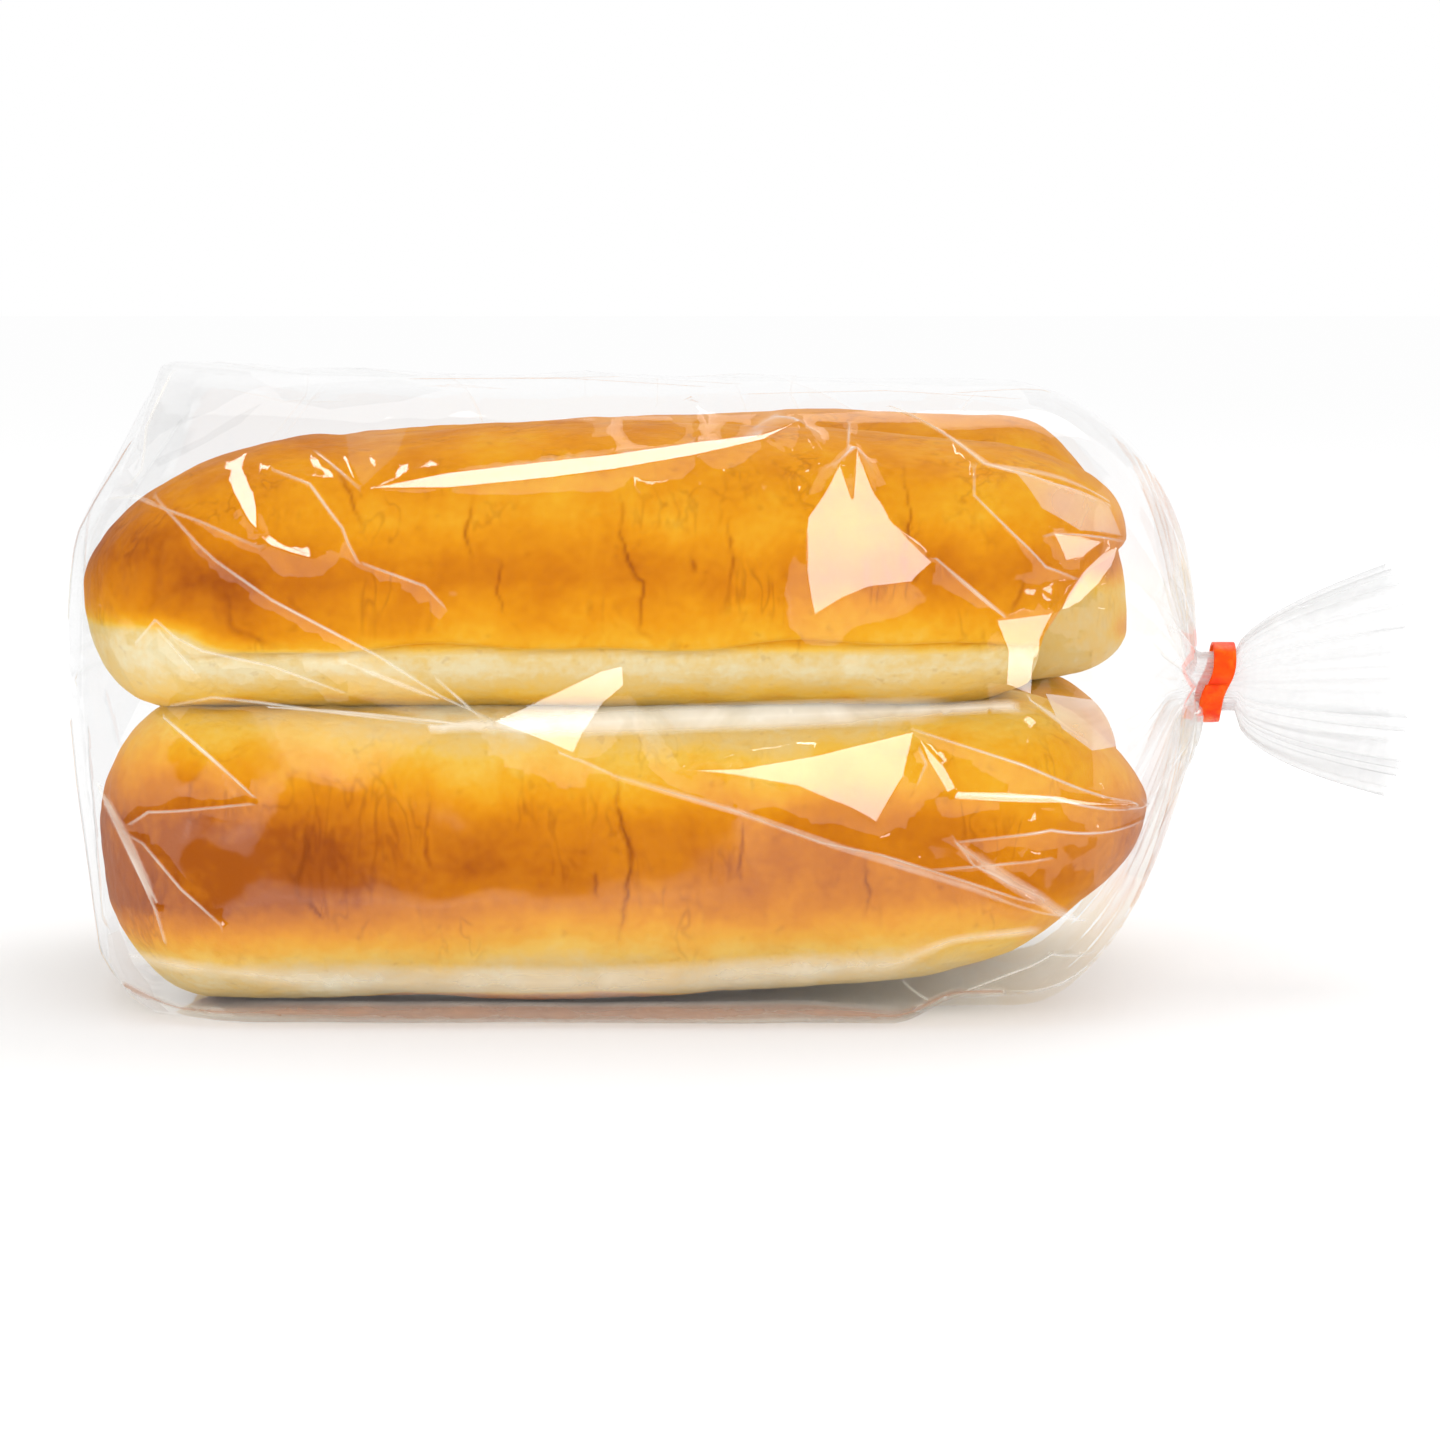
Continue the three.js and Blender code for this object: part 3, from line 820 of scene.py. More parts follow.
def loose_places(lines):
    """Places between the creases, a little above or below the smooth form."""
    creased = np.array([place[:2] for _, path in lines for place in path])
    taken = creased
    borders = [(0.0, y) for y in np.linspace(0, SHEET_GIRTH, 30)]
    borders += [(x, y) for x in np.linspace(0, SHEET_END, 16)[1:-1] for y in (0.0, SHEET_GIRTH)]
    borders += [(SHEET_END, v * SHEET_GIRTH) for v in PLEAT_V]
    places = []
    for _ in range(LOOSE_TRIES):
        if len(places) == LOOSE_COUNT:
            break
        place = rng.uniform((4, 8), (SHEET_END - 10, SHEET_GIRTH - 8))
        if gaps([place], taken)[0] < LOOSE_GAP or in_a_facet(place):
            continue
        v = place[1] / SHEET_GIRTH
        reach = LOOSE_RISE_FRONT if v < 0.4 else LOOSE_RISE_BACK
        places.append((*place, rng.uniform(-reach, reach) if 0.12 < v < 0.88 else 0.0))
        taken = np.vstack([taken, place])
    return places + [(x, y, 0.0) for x, y in borders] + facet_anchors(creased)


# ---------------------------------------------------------------- film: its mesh
FINE_FRONT, FINE_BACK = 1.5, 2.3
ALONG_CREASE = 0.8
# How milky the film is, from 0, clear, to 1, white
PLAIN_HAZE, DOME_HAZE, NECK_HAZE, TAIL_HAZE = 0.003, 0.11, 0.3, 0.55
# Pinched creases are milky partly as the film's own whitening and partly as a painted highlight
# along them
CREASE_HAZE = 0.55 / 0.24  # for each millimetre of pinch
# Over the buns the milky film is tinted cream: painted light of the buns shining through it
BODY_PAINTED_WARMTH = 0.5  # of what is milky over the buns; it fades where the dome starts
FILLER_CLEAR = 0.6  # from the mesh points along creases


def crease_points(lines, marks=()):
    """Mesh points along creases, and along further marks with copies of them to their sides."""
    points, edges = [], []
    pinched = (0, PINCH_HALF, -PINCH_HALF)
    creases = [(np.array(path)[:, :2], pinched if pinch > 0 else (0,)) for pinch, path in lines]
    for path, shifts in [*creases, *marks]:
        for a, b in zip(path[:-1], path[1:]):
            length = np.linalg.norm(b - a)
            if length < 1e-3:
                continue
            side = np.array([-(b - a)[1], (b - a)[0]]) / length
            shares = np.linspace(0, 1, max(2, int(length / ALONG_CREASE) + 1))
            for shift in shifts:
                edges += [(i, i + 1) for i in range(len(points), len(points) + len(shares) - 1)]
                points += [a + (b - a) * t + shift * side for t in shares]
    return points, edges


def film_marks():
    """Lines that the sheet's mesh follows: outlines of facets and panels, and milky bands."""
    outlines = [facet.places for facet in FACET_PLACES] + [places for *_, places in PANEL_PLACES]
    marks = [(np.vstack([o, o[:1]]), (0, FACET_EDGE, -FACET_EDGE)) for o in outlines]
    for half, _, _, path in BAND_PLACES:
        marks.append((path, (0, 0.5 * half, -0.5 * half, half, -half)))
    return marks


def sheet_points():
    """A loose grid over the sheet, finer at the front."""
    points = []
    y = 2.0
    while y < SHEET_GIRTH - 1.5:
        gap = FINE_FRONT if 0.10 < y / SHEET_GIRTH < 0.47 else FINE_BACK
        for x in np.arange(gap, SHEET_END - 0.8, gap):
            points.append(np.array([x, y]) + rng.uniform(-0.3, 0.3, 2) * gap)
        y += gap
    return np.array(points)


def sheet_mesh(lines, rim_v):
    """Places on the sheet and the faces between them, which follow its creases and marks."""
    borders = [(0.0, v * SHEET_GIRTH) for v in rim_v]
    borders += [(SHEET_END, v * SHEET_GIRTH) for v in [*COLUMN_V, 1.0]]
    borders += [(x, y) for y in (0.0, SHEET_GIRTH) for x in np.arange(2.0, SHEET_END - 1, 2.0)]
    creased, edges = crease_points(lines, film_marks())
    creased = np.clip(creased, 0.05, (SHEET_END - 0.05, SHEET_GIRTH - 0.05))
    fillers = sheet_points()
    fillers = fillers[gaps(fillers, creased) > FILLER_CLEAR]
    places, faces, _ = triangulated([*creased, *borders, *fillers], edges)
    return places, faces


def film_sheet(rim_v):
    """The film from the folded end's rim to the pleats, as points, faces and masks."""
    lines = front_network() + back_network() + pleat_network()
    loose = loose_places(lines)
    places, faces = sheet_mesh(lines, rim_v)
    rises = network_rises(lines, loose, places)
    u, v = places[:, 0], places[:, 1] / SHEET_GIRTH
    form, normals = film_at(places)
    in_facet = np.zeros(len(places), bool)
    for facet in FACET_PLACES:
        held = in_outline(places, facet.places)
        rises[held] = facet.rises(form[held], normals[held])
        in_facet |= held
    # The milky mask holds the film's own milkiness and, along creases, bands and panels, painted
    # highlights and reflections; the tint mask paints the buns' light, reflection and shadow
    haze_and_painted_light = np.full(len(places), PLAIN_HAZE)
    for pinch, path in lines:
        if pinch > 0:
            gap, along, _ = distance_to_path(places, np.array(path)[:, :2])
            ridge = np.clip(1 - gap / PINCH_HALF, 0, 1)
            rises = rises + pinch * ridge * ~in_facet
            haze_and_painted_light = np.maximum(haze_and_painted_light, CREASE_HAZE * pinch * ridge * bell(along - 0.5, 0.55))
    smoke = TOP_SMOKE[2] * smooth(TOP_SMOKE[0] - 0.004, TOP_SMOKE[0], v) * (v < TOP_SMOKE[1])
    painted_warmth = BODY_PAINTED_WARMTH * smooth(BODY_LENGTH + 12, BODY_LENGTH - 5, u)
    for milky, smoky, painted_tint, outline in PANEL_PLACES:
        held = in_outline(places, outline)
        smoke, haze_and_painted_light = np.where(held, smoky, smoke), np.where(held, np.maximum(haze_and_painted_light, milky), haze_and_painted_light)
        painted_warmth = np.where(held, np.maximum(painted_warmth, painted_tint), painted_warmth)
    for half, milky, painted_tint, path in BAND_PLACES:
        gap, along, _ = distance_to_path(places, path)
        wide = half * np.sin(math.pi * np.clip(along, 0.02, 0.98)) ** 0.6
        band = np.clip(1.6 - 1.6 * gap / wide, 0, 1)
        haze_and_painted_light = np.maximum(haze_and_painted_light, milky * band)
        painted_warmth = np.maximum(painted_warmth, painted_tint * (band > 0))
    made = form + normals * rises[:, None]
    for i in np.flatnonzero(np.abs(u - SHEET_END) < 1e-3):
        made[i] = pleated_form(SHEET_END, v[i])
    haze_and_painted_light = np.maximum(haze_and_painted_light, lerp(PLAIN_HAZE, DOME_HAZE, smooth(BODY_LENGTH, SHEET_END + 20, u)))
    return made, faces, haze_and_painted_light, smoke, painted_warmth


def pleat_of(v):
    """Which pleat a place round the bag belongs to, and how near its valley it is."""
    v = v % 1.0
    k = int(np.clip(np.searchsorted(PLEAT_V, v + 1e-9, side="right") - 1, 0, PLEATS - 1))
    share = (v - PLEAT_V[k]) / (PLEAT_V[k + 1] - PLEAT_V[k])
    return k, 1 - abs(2 * share - 1)


def pleated_form(u, v):
    k, fold = pleat_of(v)
    q = (u - BODY_LENGTH) / DOME_ARC
    return film_form(u, v) - film_normals(u, v) * float(pleat_depth(q, k)) * fold


TAIL_UNEVEN = rng.uniform(-1, 1, PLEATS)
TAIL_REACH = rng.uniform(-1, 0, PLEATS)
TAIL_SWAY = rng.uniform(-1.2, 1.2, PLEATS)
TAIL_LIFT = 0.6  # of the mouth's middle above the neck
TAIL_FLARE_ABOVE, TAIL_FLARE_BELOW = 0.6, 0.47  # how the tail spreads: less is sooner
TAIL_NOTCH = 0.09  # how far the mouth's top and bottom stay behind, as a share
DOME_ROWS, NECK_ROWS, TAIL_ROWS = 26, 5, 26  # of mesh points


def tail_point(share, v):
    """A point of the tail: share runs from the neck to the mouth."""
    k, fold = pleat_of(v)
    fold = lerp(fold, 0.5 - 0.5 * math.cos(math.pi * fold), share)
    y0, z0 = section_at(v)
    facing = math.atan2(z0 - NECK_Z, y0)
    spread = share ** (TAIL_FLARE_ABOVE if facing > 0 else TAIL_FLARE_BELOW)
    high = lerp(NECK_HALF_HEIGHT, TAIL_HALF_HEIGHT * (1 + 0.06 * TAIL_UNEVEN[k]), spread)
    deep = lerp(NECK_HALF_DEPTH, TAIL_HALF_DEPTH * (1 + 0.25 * TAIL_UNEVEN[k]), spread)
    depth = lerp(0.84 * PLEAT_DEEP[k], (0.06 + 0.10 * PLEAT_DEEP[k]) * high, share)
    radius = 1 - depth * fold / max(high, deep)
    up, across = math.sin(facing), math.cos(facing)
    sideways = TAIL_SWAY[k] * fold * share
    length = (TAIL_END_X - TAIL_X) * (1 + 0.005 * TAIL_REACH[k] - TAIL_NOTCH * abs(up) ** 4)
    y = deep * across * radius - sideways * up
    z = NECK_Z + TAIL_LIFT * share + high * up * radius + sideways * across
    return np.array([TAIL_X + length * share, y, z])


def pleated_grid():
    """The dome's pleats, the neck and the tail, as rows of points."""
    neck_u = BODY_LENGTH + DOME_ARC
    rows = []
    for u in np.linspace(SHEET_END, neck_u, DOME_ROWS):
        rows.append([pleated_form(min(u, neck_u - 0.4), v) for v in COLUMN_V])
    for share in np.linspace(0, 1, NECK_ROWS + 1)[1:]:
        before = ((NECK_X - TAIL_X) * (1 - share), 0, 0)
        rows.append([tail_point(0.0, v) + before for v in COLUMN_V])
    for share in np.linspace(0, 1, TAIL_ROWS + 1)[1:]:
        rows.append([tail_point(share, v) for v in COLUMN_V])
    return np.array(rows)


# Creases of the folded end: how sharply each is pinched, and its path as (y, z, rise) in mm
PANEL_CREASES = [
    (0.22, [(-40, 49, 0.4), (0, 50, 0.8), (40, 49, 0.4)]),
    (0.22, [(-40, 45.5, 0.2), (0, 46.5, 0.4), (40, 45.5, 0.2)]),
    (0.20, [(-37, 86, 0.2), (-20, 56, 0.8)]),
    (0.20, [(37, 86, 0.2), (22, 56, 0.8)]),
    (0.20, [(-39, 6, 0.2), (-24, 41, 0.8)]),
    (0.20, [(39, 6, 0.2), (20, 40, 0.8)]),
    (0.14, [(-8, 84, 0.2), (4, 60, 0.6)]),
    (0.14, [(-6, 8, 0.2), (3, 36, 0.5)]),
]
PANEL_GAP = 2.2  # of its mesh points


def end_panel(rim_v):
    """The folded end, a panel across the rim."""
    rim = film_form(0.0, rim_v[:-1])
    flat = rim[:, 1:]
    low, high = flat.min(axis=0), flat.max(axis=0)
    creased, edges = crease_points(PANEL_CREASES)
    fillers = np.array([
        rng.uniform(-0.4, 0.4, 2) + (y, z)
        for y in np.arange(low[0], high[0], PANEL_GAP)
        for z in np.arange(low[1], high[1], PANEL_GAP)
    ])
    fillers = fillers[(gaps(fillers, flat) > 1.5) & (gaps(fillers, np.array(creased)) > 0.7)]
    count = len(rim)
    edges = [(a + count, b + count) for a, b in edges]
    edges = [(i, (i + 1) % count) for i in range(count)] + edges
    places, faces, sources = triangulated([*flat, *creased, *fillers], edges, mode=1)
    rises = network_rises(PANEL_CREASES, [(*place, 0.0) for place in flat[::4]], places)
    for pinch, path in PANEL_CREASES:
        gap, _, _ = distance_to_path(places, np.array(path)[:, :2])
        rises = rises + pinch * np.clip(1 - gap / PINCH_HALF, 0, 1)
    rises = rises * smooth(0.0, 3.0, gaps(places, flat))
    inward = np.clip(1 - (places[:, 0] / ((high[0] - low[0]) / 2)) ** 2, 0, 1)
    x = end_x(places[:, 0], places[:, 1] / (1 + TOP_RISE)) - 0.3 * inward - rises
    made = np.column_stack([x, places])
    for i, found in enumerate(sources):
        on_rim = [source for source in found if source < count]
        if on_rim:
            made[i] = rim[on_rim[0]]
    return made, faces


PANEL_SMOKE = 1.5  # how smoky the folded end is
DOME_MATTE, NECK_MATTE, TAIL_MATTE = 0.5, 0.8, 1.0  # how matte: the dome at its end
GROUND_GAP = 0.03  # how far the film stays above the ground


def make_film(material):
    rim_v = np.linspace(0, SHEET_GIRTH, 181) / SHEET_GIRTH
    sheet, faces, haze_and_painted_light, smoke, painted_warmth = film_sheet(rim_v)
    grid = pleated_grid()
    panel, panel_faces = end_panel(rim_v)
    rows, columns = grid.shape[:2]
    parts = [(len(sheet), grid_faces(rows, columns, True))]
    parts.append((len(sheet) + rows * columns, panel_faces))
    for first, part_faces in parts:
        faces += [tuple(i + first for i in face) for face in part_faces]
    points = np.vstack([sheet, grid.reshape(-1, 3), panel])
    points[:, 2] = np.maximum(points[:, 2], GROUND_GAP)

    def joined(of_sheet, of_rows, of_panel):
        of_grid = np.repeat(of_rows, columns)
        return np.concatenate([of_sheet, of_grid, np.full(len(panel), of_panel)])

    clear = np.zeros(rows)
    row_haze = np.concatenate([
        np.linspace(DOME_HAZE, NECK_HAZE, DOME_ROWS), np.full(NECK_ROWS, NECK_HAZE),
        np.linspace(NECK_HAZE, TAIL_HAZE, TAIL_ROWS),
    ])
    row_matte = np.concatenate([
        np.linspace(0, DOME_MATTE, DOME_ROWS), np.full(NECK_ROWS, NECK_MATTE),
        np.full(TAIL_ROWS, TAIL_MATTE),
    ])
    film = make_object("film", points, faces, material, {
        "haze_and_painted_light": joined(haze_and_painted_light, row_haze, PLAIN_HAZE),
        "smoke": joined(smoke, clear, PANEL_SMOKE),
        "painted_warmth": joined(painted_warmth, clear, 0.0),
        "matte": joined(np.zeros(len(sheet)), row_matte, 0.0),
    })
    face_outward(film, weld=0.02)
    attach(film, "root")
    return film


# ---------------------------------------------------------------- tape
# The tape's route round the neck is the one of its plain solid
TAPE_X, TAPE_TURNS = 73.3, 1.55
TAPE_WIDTH, TAPE_THICKNESS, TAPE_LAYER_GAP = 3.45, 0.4, 0.15
TAPE_HALF_HEIGHT, TAPE_HALF_DEPTH = 5.2, 4.4
TAPE_LEAN, TAPE_SLIP = 1.15, 0.35
TAPE_EDGE = 0.12  # how far its edges are rounded
TAPE_STEPS, TAPE_ACROSS = 300, 15


def tape_profile():
    """The band's section: (across, above its underside), a flat band with rounded edges."""
    half, edge = TAPE_WIDTH / 2, TAPE_EDGE
    across = np.concatenate([
        [-half, -half + 0.35 * edge], np.linspace(-half + edge, half - edge, TAPE_ACROSS),
        [half - 0.35 * edge, half],
    ])
    round_off = np.array([edge, 0.3 * edge] + [0] * TAPE_ACROSS + [0.3 * edge, edge])
    over = np.stack([across, TAPE_THICKNESS - round_off], axis=1)
    under = np.stack([across, round_off], axis=1)[::-1]
    return np.vstack([over, under])


def make_tape(material):
    profile = tape_profile()
    across, above = profile.T
    left = np.linspace(TAPE_TURNS, 0, TAPE_STEPS)[:, None]  # turns left to its free end
    angle = -left * 2 * math.pi
    swing = TAPE_LEAN * np.tanh(2.6 * np.sin(angle)) - TAPE_SLIP * np.maximum(0, 1 - 4 * left)
    ripple = 0.05 * np.sin(left * 31) + 0.04 * np.sin(left * 53 + 1)
    rise = (TAPE_TURNS - left) * (TAPE_THICKNESS + TAPE_LAYER_GAP) + above
    rise = rise + ripple * (1 - (across / TAPE_WIDTH * 2) ** 2)
    x = TAPE_X + swing + across
    y = -(TAPE_HALF_DEPTH + rise) * np.cos(angle)
    z = NECK_Z + (TAPE_HALF_HEIGHT + rise) * np.sin(angle)
    points = np.stack([x, y, z], axis=-1).reshape(-1, 3)
    size, last = len(profile), len(points) - len(profile)
    faces = grid_faces(TAPE_STEPS, size, True)
    faces += [tuple(range(size)), tuple(last + i for i in reversed(range(size)))]
    tape = make_object("tape_band", points, faces, material)
    face_outward(tape)
    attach(tape, "root")
    return tape


# ---------------------------------------------------------------- materials
def linear(red, green, blue):
    """The scene-linear RGBA of a screen colour whose channels run from 0 to 255."""
    channels = [
        ((c / 255 + 0.055) / 1.055) ** 2.4 if c > 10 else c / 255 / 12.92
        for c in (red, green, blue)
    ]
    return (*channels, 1.0)


class Surface:
    """A node material, with short calls for its nodes."""

    def __init__(self, name):
        self.material = bpy.data.materials.new(name)
        self.material.use_nodes = True
        self.tree = self.material.node_tree
        self.tree.nodes.clear()
        self.output = self.tree.nodes.new("ShaderNodeOutputMaterial")

    def add(self, kind, inputs=None, **settings):
        """A node with its settings; an input is a number, a colour or another node's output."""
        made = self.tree.nodes.new("ShaderNode" + kind)
        for name, value in settings.items():
            setattr(made, name, value)
        for socket, value in (inputs or {}).items():
            if isinstance(value, bpy.types.NodeSocket):
                self.tree.links.new(value, made.inputs[socket])
            else:
                made.inputs[socket].default_value = value
        return made.outputs

    def math(self, operation, *values, clamp=False):
        return self.add("Math", dict(enumerate(values)), operation=operation, use_clamp=clamp)[0]

    def mask(self, name):
        """A number stored on the mesh's points."""
        return self.add("Attribute", attribute_name=name)["Fac"]

    def grain(self, scale, detail=3.0, distortion=0.0, rough=0.5, stretch=None):
        """Noise about 0.5; scale is in lumps a metre, changed along each axis by stretch."""
        place = self.add("TexCoord")["Object"]
        if stretch:
            place = self.add("Mapping", {"Vector": place, "Scale": stretch})["Vector"]
        inputs = {
            "Vector": place, "Scale": scale, "Detail": detail, "Distortion": distortion,
            "Roughness": rough,
        }
        return self.add("TexNoise", inputs)["Fac"]

    def ramp(self, factor, stops):
        outputs = self.add("ValToRGB", {"Fac": factor})
        elements = outputs[0].node.color_ramp.elements
        elements[0].position, elements[0].color = stops[0]
        elements[1].position, elements[1].color = stops[-1]
        for position, colour in stops[1:-1]:
            elements.new(position).color = colour
        return outputs["Color"]

    def mix(self, factor, low, high, blend="MIX"):
        inputs = {0: factor, 6: low, 7: high}
        return self.add("Mix", inputs, data_type="RGBA", blend_type=blend)[2]

    def bump(self, height, strength, distance, normal=None):
        inputs = {"Height": height, "Strength": strength, "Distance": distance}
        if normal is not None:
            inputs["Normal"] = normal
        return self.add("Bump", inputs)["Normal"]

    def finish(self, shader):
        self.tree.links.new(shader, self.output.inputs["Surface"])
        return self.material


CRUST_ALBEDO = 0.95
CRUST_RAMP = [
    (0.0, linear(243, 228, 183)), (0.12, linear(241, 209, 134)), (0.3, linear(249, 200, 78)),
    (0.45, linear(247, 178, 34)), (0.6, linear(240, 157, 10)), (0.75, linear(223, 134, 0)),
    (0.9, linear(202, 112, 0)), (1.0, linear(174, 86, 0)),
]


def crust_material():
    surface = Surface("bun_crust")
    mottle = surface.math("SUBTRACT", surface.grain(120, 5, 0.3, 0.62), 0.5)
    fine = surface.math("SUBTRACT", surface.grain(800, 3), 0.5)
    brown = surface.math("MULTIPLY_ADD", mottle, 0.42, surface.mask("brown"))
    brown = surface.math("MULTIPLY_ADD", fine, 0.16, brown)
    # The cracks' mask is painted shade: it makes the crust browner and darker in the cracks and the
    # cut
    crack_shade = surface.mask("crack_shade")
    brown = surface.math("MULTIPLY_ADD", crack_shade, 0.12, brown, clamp=True)
    colour = surface.ramp(brown, CRUST_RAMP)
    specks = surface.ramp(
        surface.grain(520, 2), [(0.66, (0, 0, 0, 1)), (0.74, (1, 1, 1, 1))]
    )
    colour = surface.mix(
        surface.math("MULTIPLY", specks, 0.35), colour, (0.72, 0.60, 0.50, 1), "MULTIPLY"
    )
    puckers = surface.math("ABSOLUTE", surface.math(
        "SUBTRACT", surface.grain(330, 2, 0.4, stretch=(1, 1, 0.28)), 0.5
    ))
    puckers = surface.ramp(puckers, [(0.0, (1, 1, 1, 1)), (0.045, (0, 0, 0, 1))])
    places = surface.ramp(surface.grain(85, 2), [(0.53, (0, 0, 0, 1)), (0.62, (1, 1, 1, 1))])
    puckers = surface.math("MULTIPLY", puckers, places)
    puckers = surface.math("MULTIPLY", puckers, surface.math("MULTIPLY", brown, 1.5, clamp=True))
    # The puckers are real bumps; their dark lines here, like the cracks', are painted shade in
    # these small crevices
    dark = surface.math("MULTIPLY_ADD", puckers, 0.5, surface.math("MULTIPLY", crack_shade, 0.6))
    colour = surface.mix(dark, colour, (0.60, 0.44, 0.26, 1), "MULTIPLY")
    colour = surface.mix(1.0, colour, (CRUST_ALBEDO, CRUST_ALBEDO, CRUST_ALBEDO, 1), "MULTIPLY")
    bounced = surface.math("MULTIPLY", surface.add("LightPath")["Is Diffuse Ray"], 0.7)
    colour = surface.mix(bounced, colour, (0.90, 0.88, 0.85, 1))
    skin = surface.bump(surface.grain(160, 3, 0.4), 0.4, 0.0009)
    skin = surface.bump(surface.grain(420, 5, 0.6), 0.55, 0.0004, skin)
    skin = surface.bump(surface.grain(1500, 3), 0.3, 0.00015, skin)
    skin = surface.bump(puckers, -0.7, 0.0004, skin)
    rough = surface.math("MULTIPLY_ADD", surface.grain(300, 3), 0.2, 0.42)
    shader = surface.add("BsdfPrincipled", {
        "Base Color": colour, "Roughness": rough, "Normal": skin, "Specular IOR Level": 0.08,
    })
    return surface.finish(shader[0])


FILM_TINT = 0.982
MATTE_TINT, TAIL_DULLNESS = -0.065, 0.85
SMOKY_TINT = 0.06  # how much more a smoky panel darkens what shows through it
MILKY_TINT = 0.12  # how much less the milky film darkens what shows through it
FILM_GLOSS, FILM_EDGE_GLOSS = 0.05, 0.78


def film_material():
    surface = Surface("film")
    tint = surface.math("MULTIPLY_ADD", surface.mask("haze_and_painted_light"), MILKY_TINT, FILM_TINT)
    tint = surface.math("MULTIPLY_ADD", surface.mask("smoke"), -SMOKY_TINT, tint)
    tint = surface.math("MULTIPLY_ADD", surface.mask("matte"), MATTE_TINT, tint, clamp=True)
    clear = surface.add("BsdfTransparent", {"Color": tint})
    # The milky film's colour: cream over the buns and brown in the bottom band and corner are
    # painted light, reflection and shadow of the buns
    milk = surface.ramp(surface.mask("painted_warmth"), [
        (0.0, (0.955, 0.965, 0.975, 1)), (0.5, (1.0, 0.95, 0.84, 1)), (1.0, linear(182, 140, 112)),
    ])
    milk = surface.mix(surface.mask("matte"), milk, (0.94, 0.945, 0.95, 1))
    milky = surface.add("BsdfDiffuse", {"Color": milk})
    streaks = surface.math("MULTIPLY_ADD", surface.grain(70, 3, 1.5), 1.4, 0.3)
    haze_and_painted_light = surface.math("MULTIPLY", surface.mask("haze_and_painted_light"), streaks, clamp=True)
    body = surface.add("MixShader", {0: haze_and_painted_light, 1: clear[0], 2: milky[0]})
    waves = surface.bump(surface.grain(45, 2), 0.12, 0.0003)
    gloss = surface.add("BsdfGlossy", {
        "Color": (1, 1, 1, 1), "Roughness": 0.05, "Normal": waves
    })
    facing = surface.add("LayerWeight", {"Blend": 0.5})["Facing"]
    grazing = surface.math("POWER", facing, 5.0)
    mirror = surface.math("MULTIPLY_ADD", grazing, FILM_EDGE_GLOSS, FILM_GLOSS, clamp=True)
    dulled = surface.math("MULTIPLY_ADD", surface.mask("matte"), -TAIL_DULLNESS, 1.0)
    mirror = surface.math("MULTIPLY", mirror, dulled)
    both = surface.add("MixShader", {0: mirror, 1: body[0], 2: gloss[0]})
    return surface.finish(both[0])


def tape_material():
    surface = Surface("tape")
    colour = surface.ramp(surface.grain(420, 3, 0.8), [
        (0.35, linear(255, 62, 0)), (0.52, linear(255, 86, 0)), (0.68, linear(255, 108, 6)),
    ])
    skin = surface.bump(surface.grain(600, 3, 0.5), 0.3, 0.0002)
    rough = surface.math("MULTIPLY_ADD", surface.grain(500, 2), 0.2, 0.2)
    shader = surface.add("BsdfPrincipled", {
        "Base Color": colour, "Roughness": rough, "Normal": skin, "Specular IOR Level": 0.18,
    })
    return surface.finish(shader[0])


def stage_material(name, colour):
    surface = Surface(name)
    return surface.finish(surface.add("BsdfDiffuse", {"Color": (*colour, 1)})[0])


# ---------------------------------------------------------------- stage and light
FLOOR_HALF, FLOOR_DROP, FLOOR_COLOUR = 3000, 0.05, (0.985, 0.985, 0.985)
CANOPY_TURN, CANOPY_RADIUS, CANOPY_HALF = 110.0, 1500.0, 2500.0
CANOPY_STEPS, CANOPY_COLOUR = 24, (0.05, 0.05, 0.05)
WORLD_BRIGHTNESS = 1.0
AIM = (0.0, 0.0, 0.045)  # where the softboxes point, in metres


def make_floor():
    corners = [(-FLOOR_HALF, -FLOOR_HALF, 0), (FLOOR_HALF, -FLOOR_HALF, 0)]
    corners += [(FLOOR_HALF, FLOOR_HALF, 0), (-FLOOR_HALF, FLOOR_HALF, 0)]
    material = stage_material("floor", FLOOR_COLOUR)
    floor = make_object("floor", np.array(corners), [(0, 1, 2, 3)], material)
    floor.location.z = -FLOOR_DROP * METRES


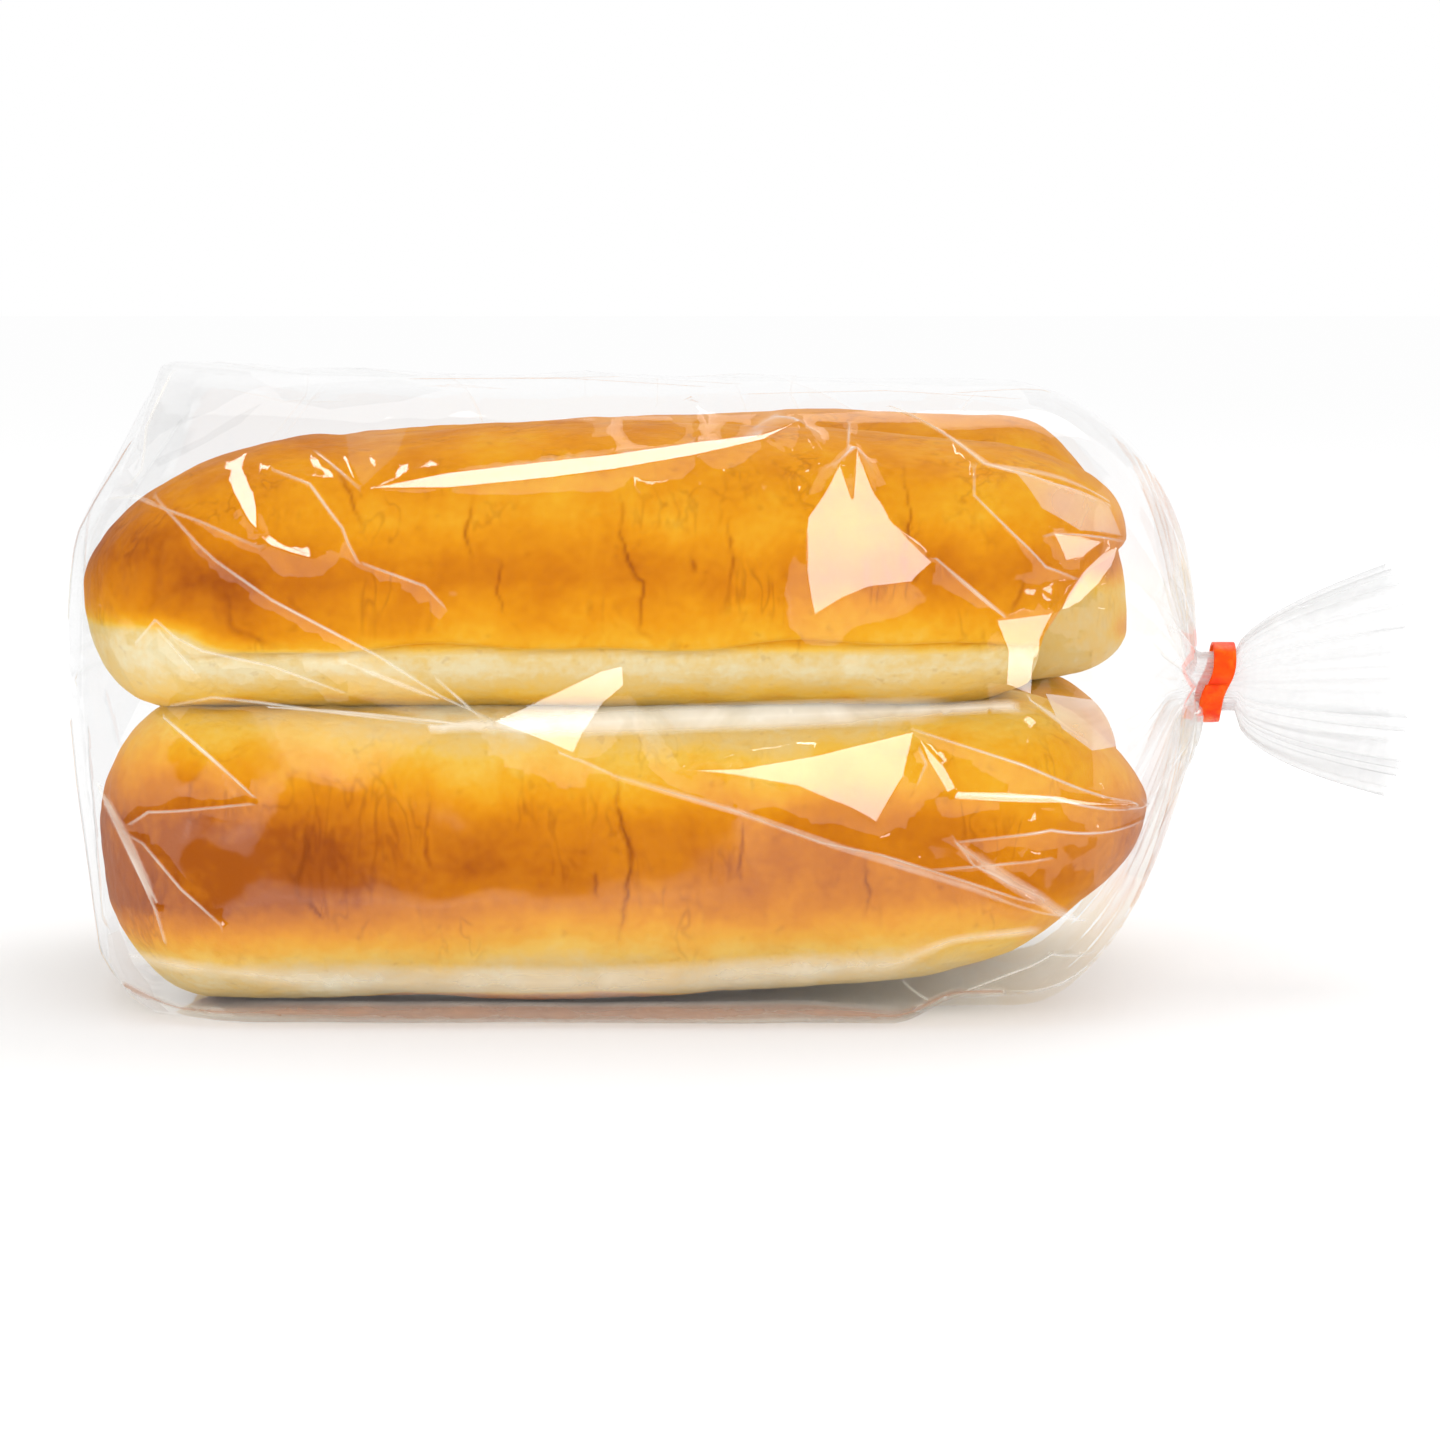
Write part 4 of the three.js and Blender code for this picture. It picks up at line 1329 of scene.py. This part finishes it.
def make_softbox(name, at, size, brightness):
    """A softbox; brightness is that of its face beside the white surroundings."""
    data = bpy.data.lights.new(name, "AREA")
    data.shape = "RECTANGLE"
    data.size, data.size_y = size
    data.energy = brightness * math.pi * size[0] * size[1]
    lamp = bpy.data.objects.new("softbox_" + name, data)
    lamp.location = np.array(at) * METRES
    lamp.rotation_euler = (Vector(AIM) - lamp.location).to_track_quat("-Z", "Y").to_euler()
    lamp.visible_camera = False
    lamp.visible_diffuse, lamp.visible_glossy = name in SHADING, name in REFLECTED
    bpy.context.scene.collection.objects.link(lamp)


def make_dim_canopy():
    """A dim canopy in front and overhead, which only reflections see, so the film stays clear."""
    count, radius, half = CANOPY_STEPS, CANOPY_RADIUS, CANOPY_HALF
    turns = np.linspace(0, math.radians(CANOPY_TURN), count + 1)
    arch = [(-radius * math.cos(turn), radius * math.sin(turn)) for turn in turns]
    points = [(x, *place) for place in arch for x in (-half, half)]
    points += [(-half, radius, 0), (-half, radius, radius), (-half, 0, radius), (-half, 0, 0)]
    first = 2 * count + 2
    faces = grid_faces(count + 1, 2, False)
    faces += [tuple(range(first, first + 4)), (first + 3, *range(0, first - 1, 2))]
    material = stage_material("canopy", CANOPY_COLOUR)
    canopy = make_object("dim_canopy", np.array(points), faces, material)
    canopy.visible_camera = canopy.visible_diffuse = canopy.visible_shadow = False
    canopy.visible_transmission = False


def make_world():
    world = bpy.data.worlds.new("studio")
    world.use_nodes = True
    background = world.node_tree.nodes["Background"].inputs
    background["Color"].default_value = (1, 1, 1, 1)
    background["Strength"].default_value = WORLD_BRIGHTNESS
    bpy.context.scene.world = world
    bpy.context.scene.view_settings.view_transform = "Standard"


make_camera()
crust = crust_material()
for bun in BUNS:
    made = make_bun(bun, crust)
    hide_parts("bag")
film = make_film(film_material())
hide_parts("bag")
tape = make_tape(tape_material())
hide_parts("tape")
make_floor()
make_world()
make_dim_canopy()
for name, (at, size, brightness) in LIGHTS.items():
    make_softbox(name, at, size, brightness)
bpy.context.scene.cycles.transparent_max_bounces = 24
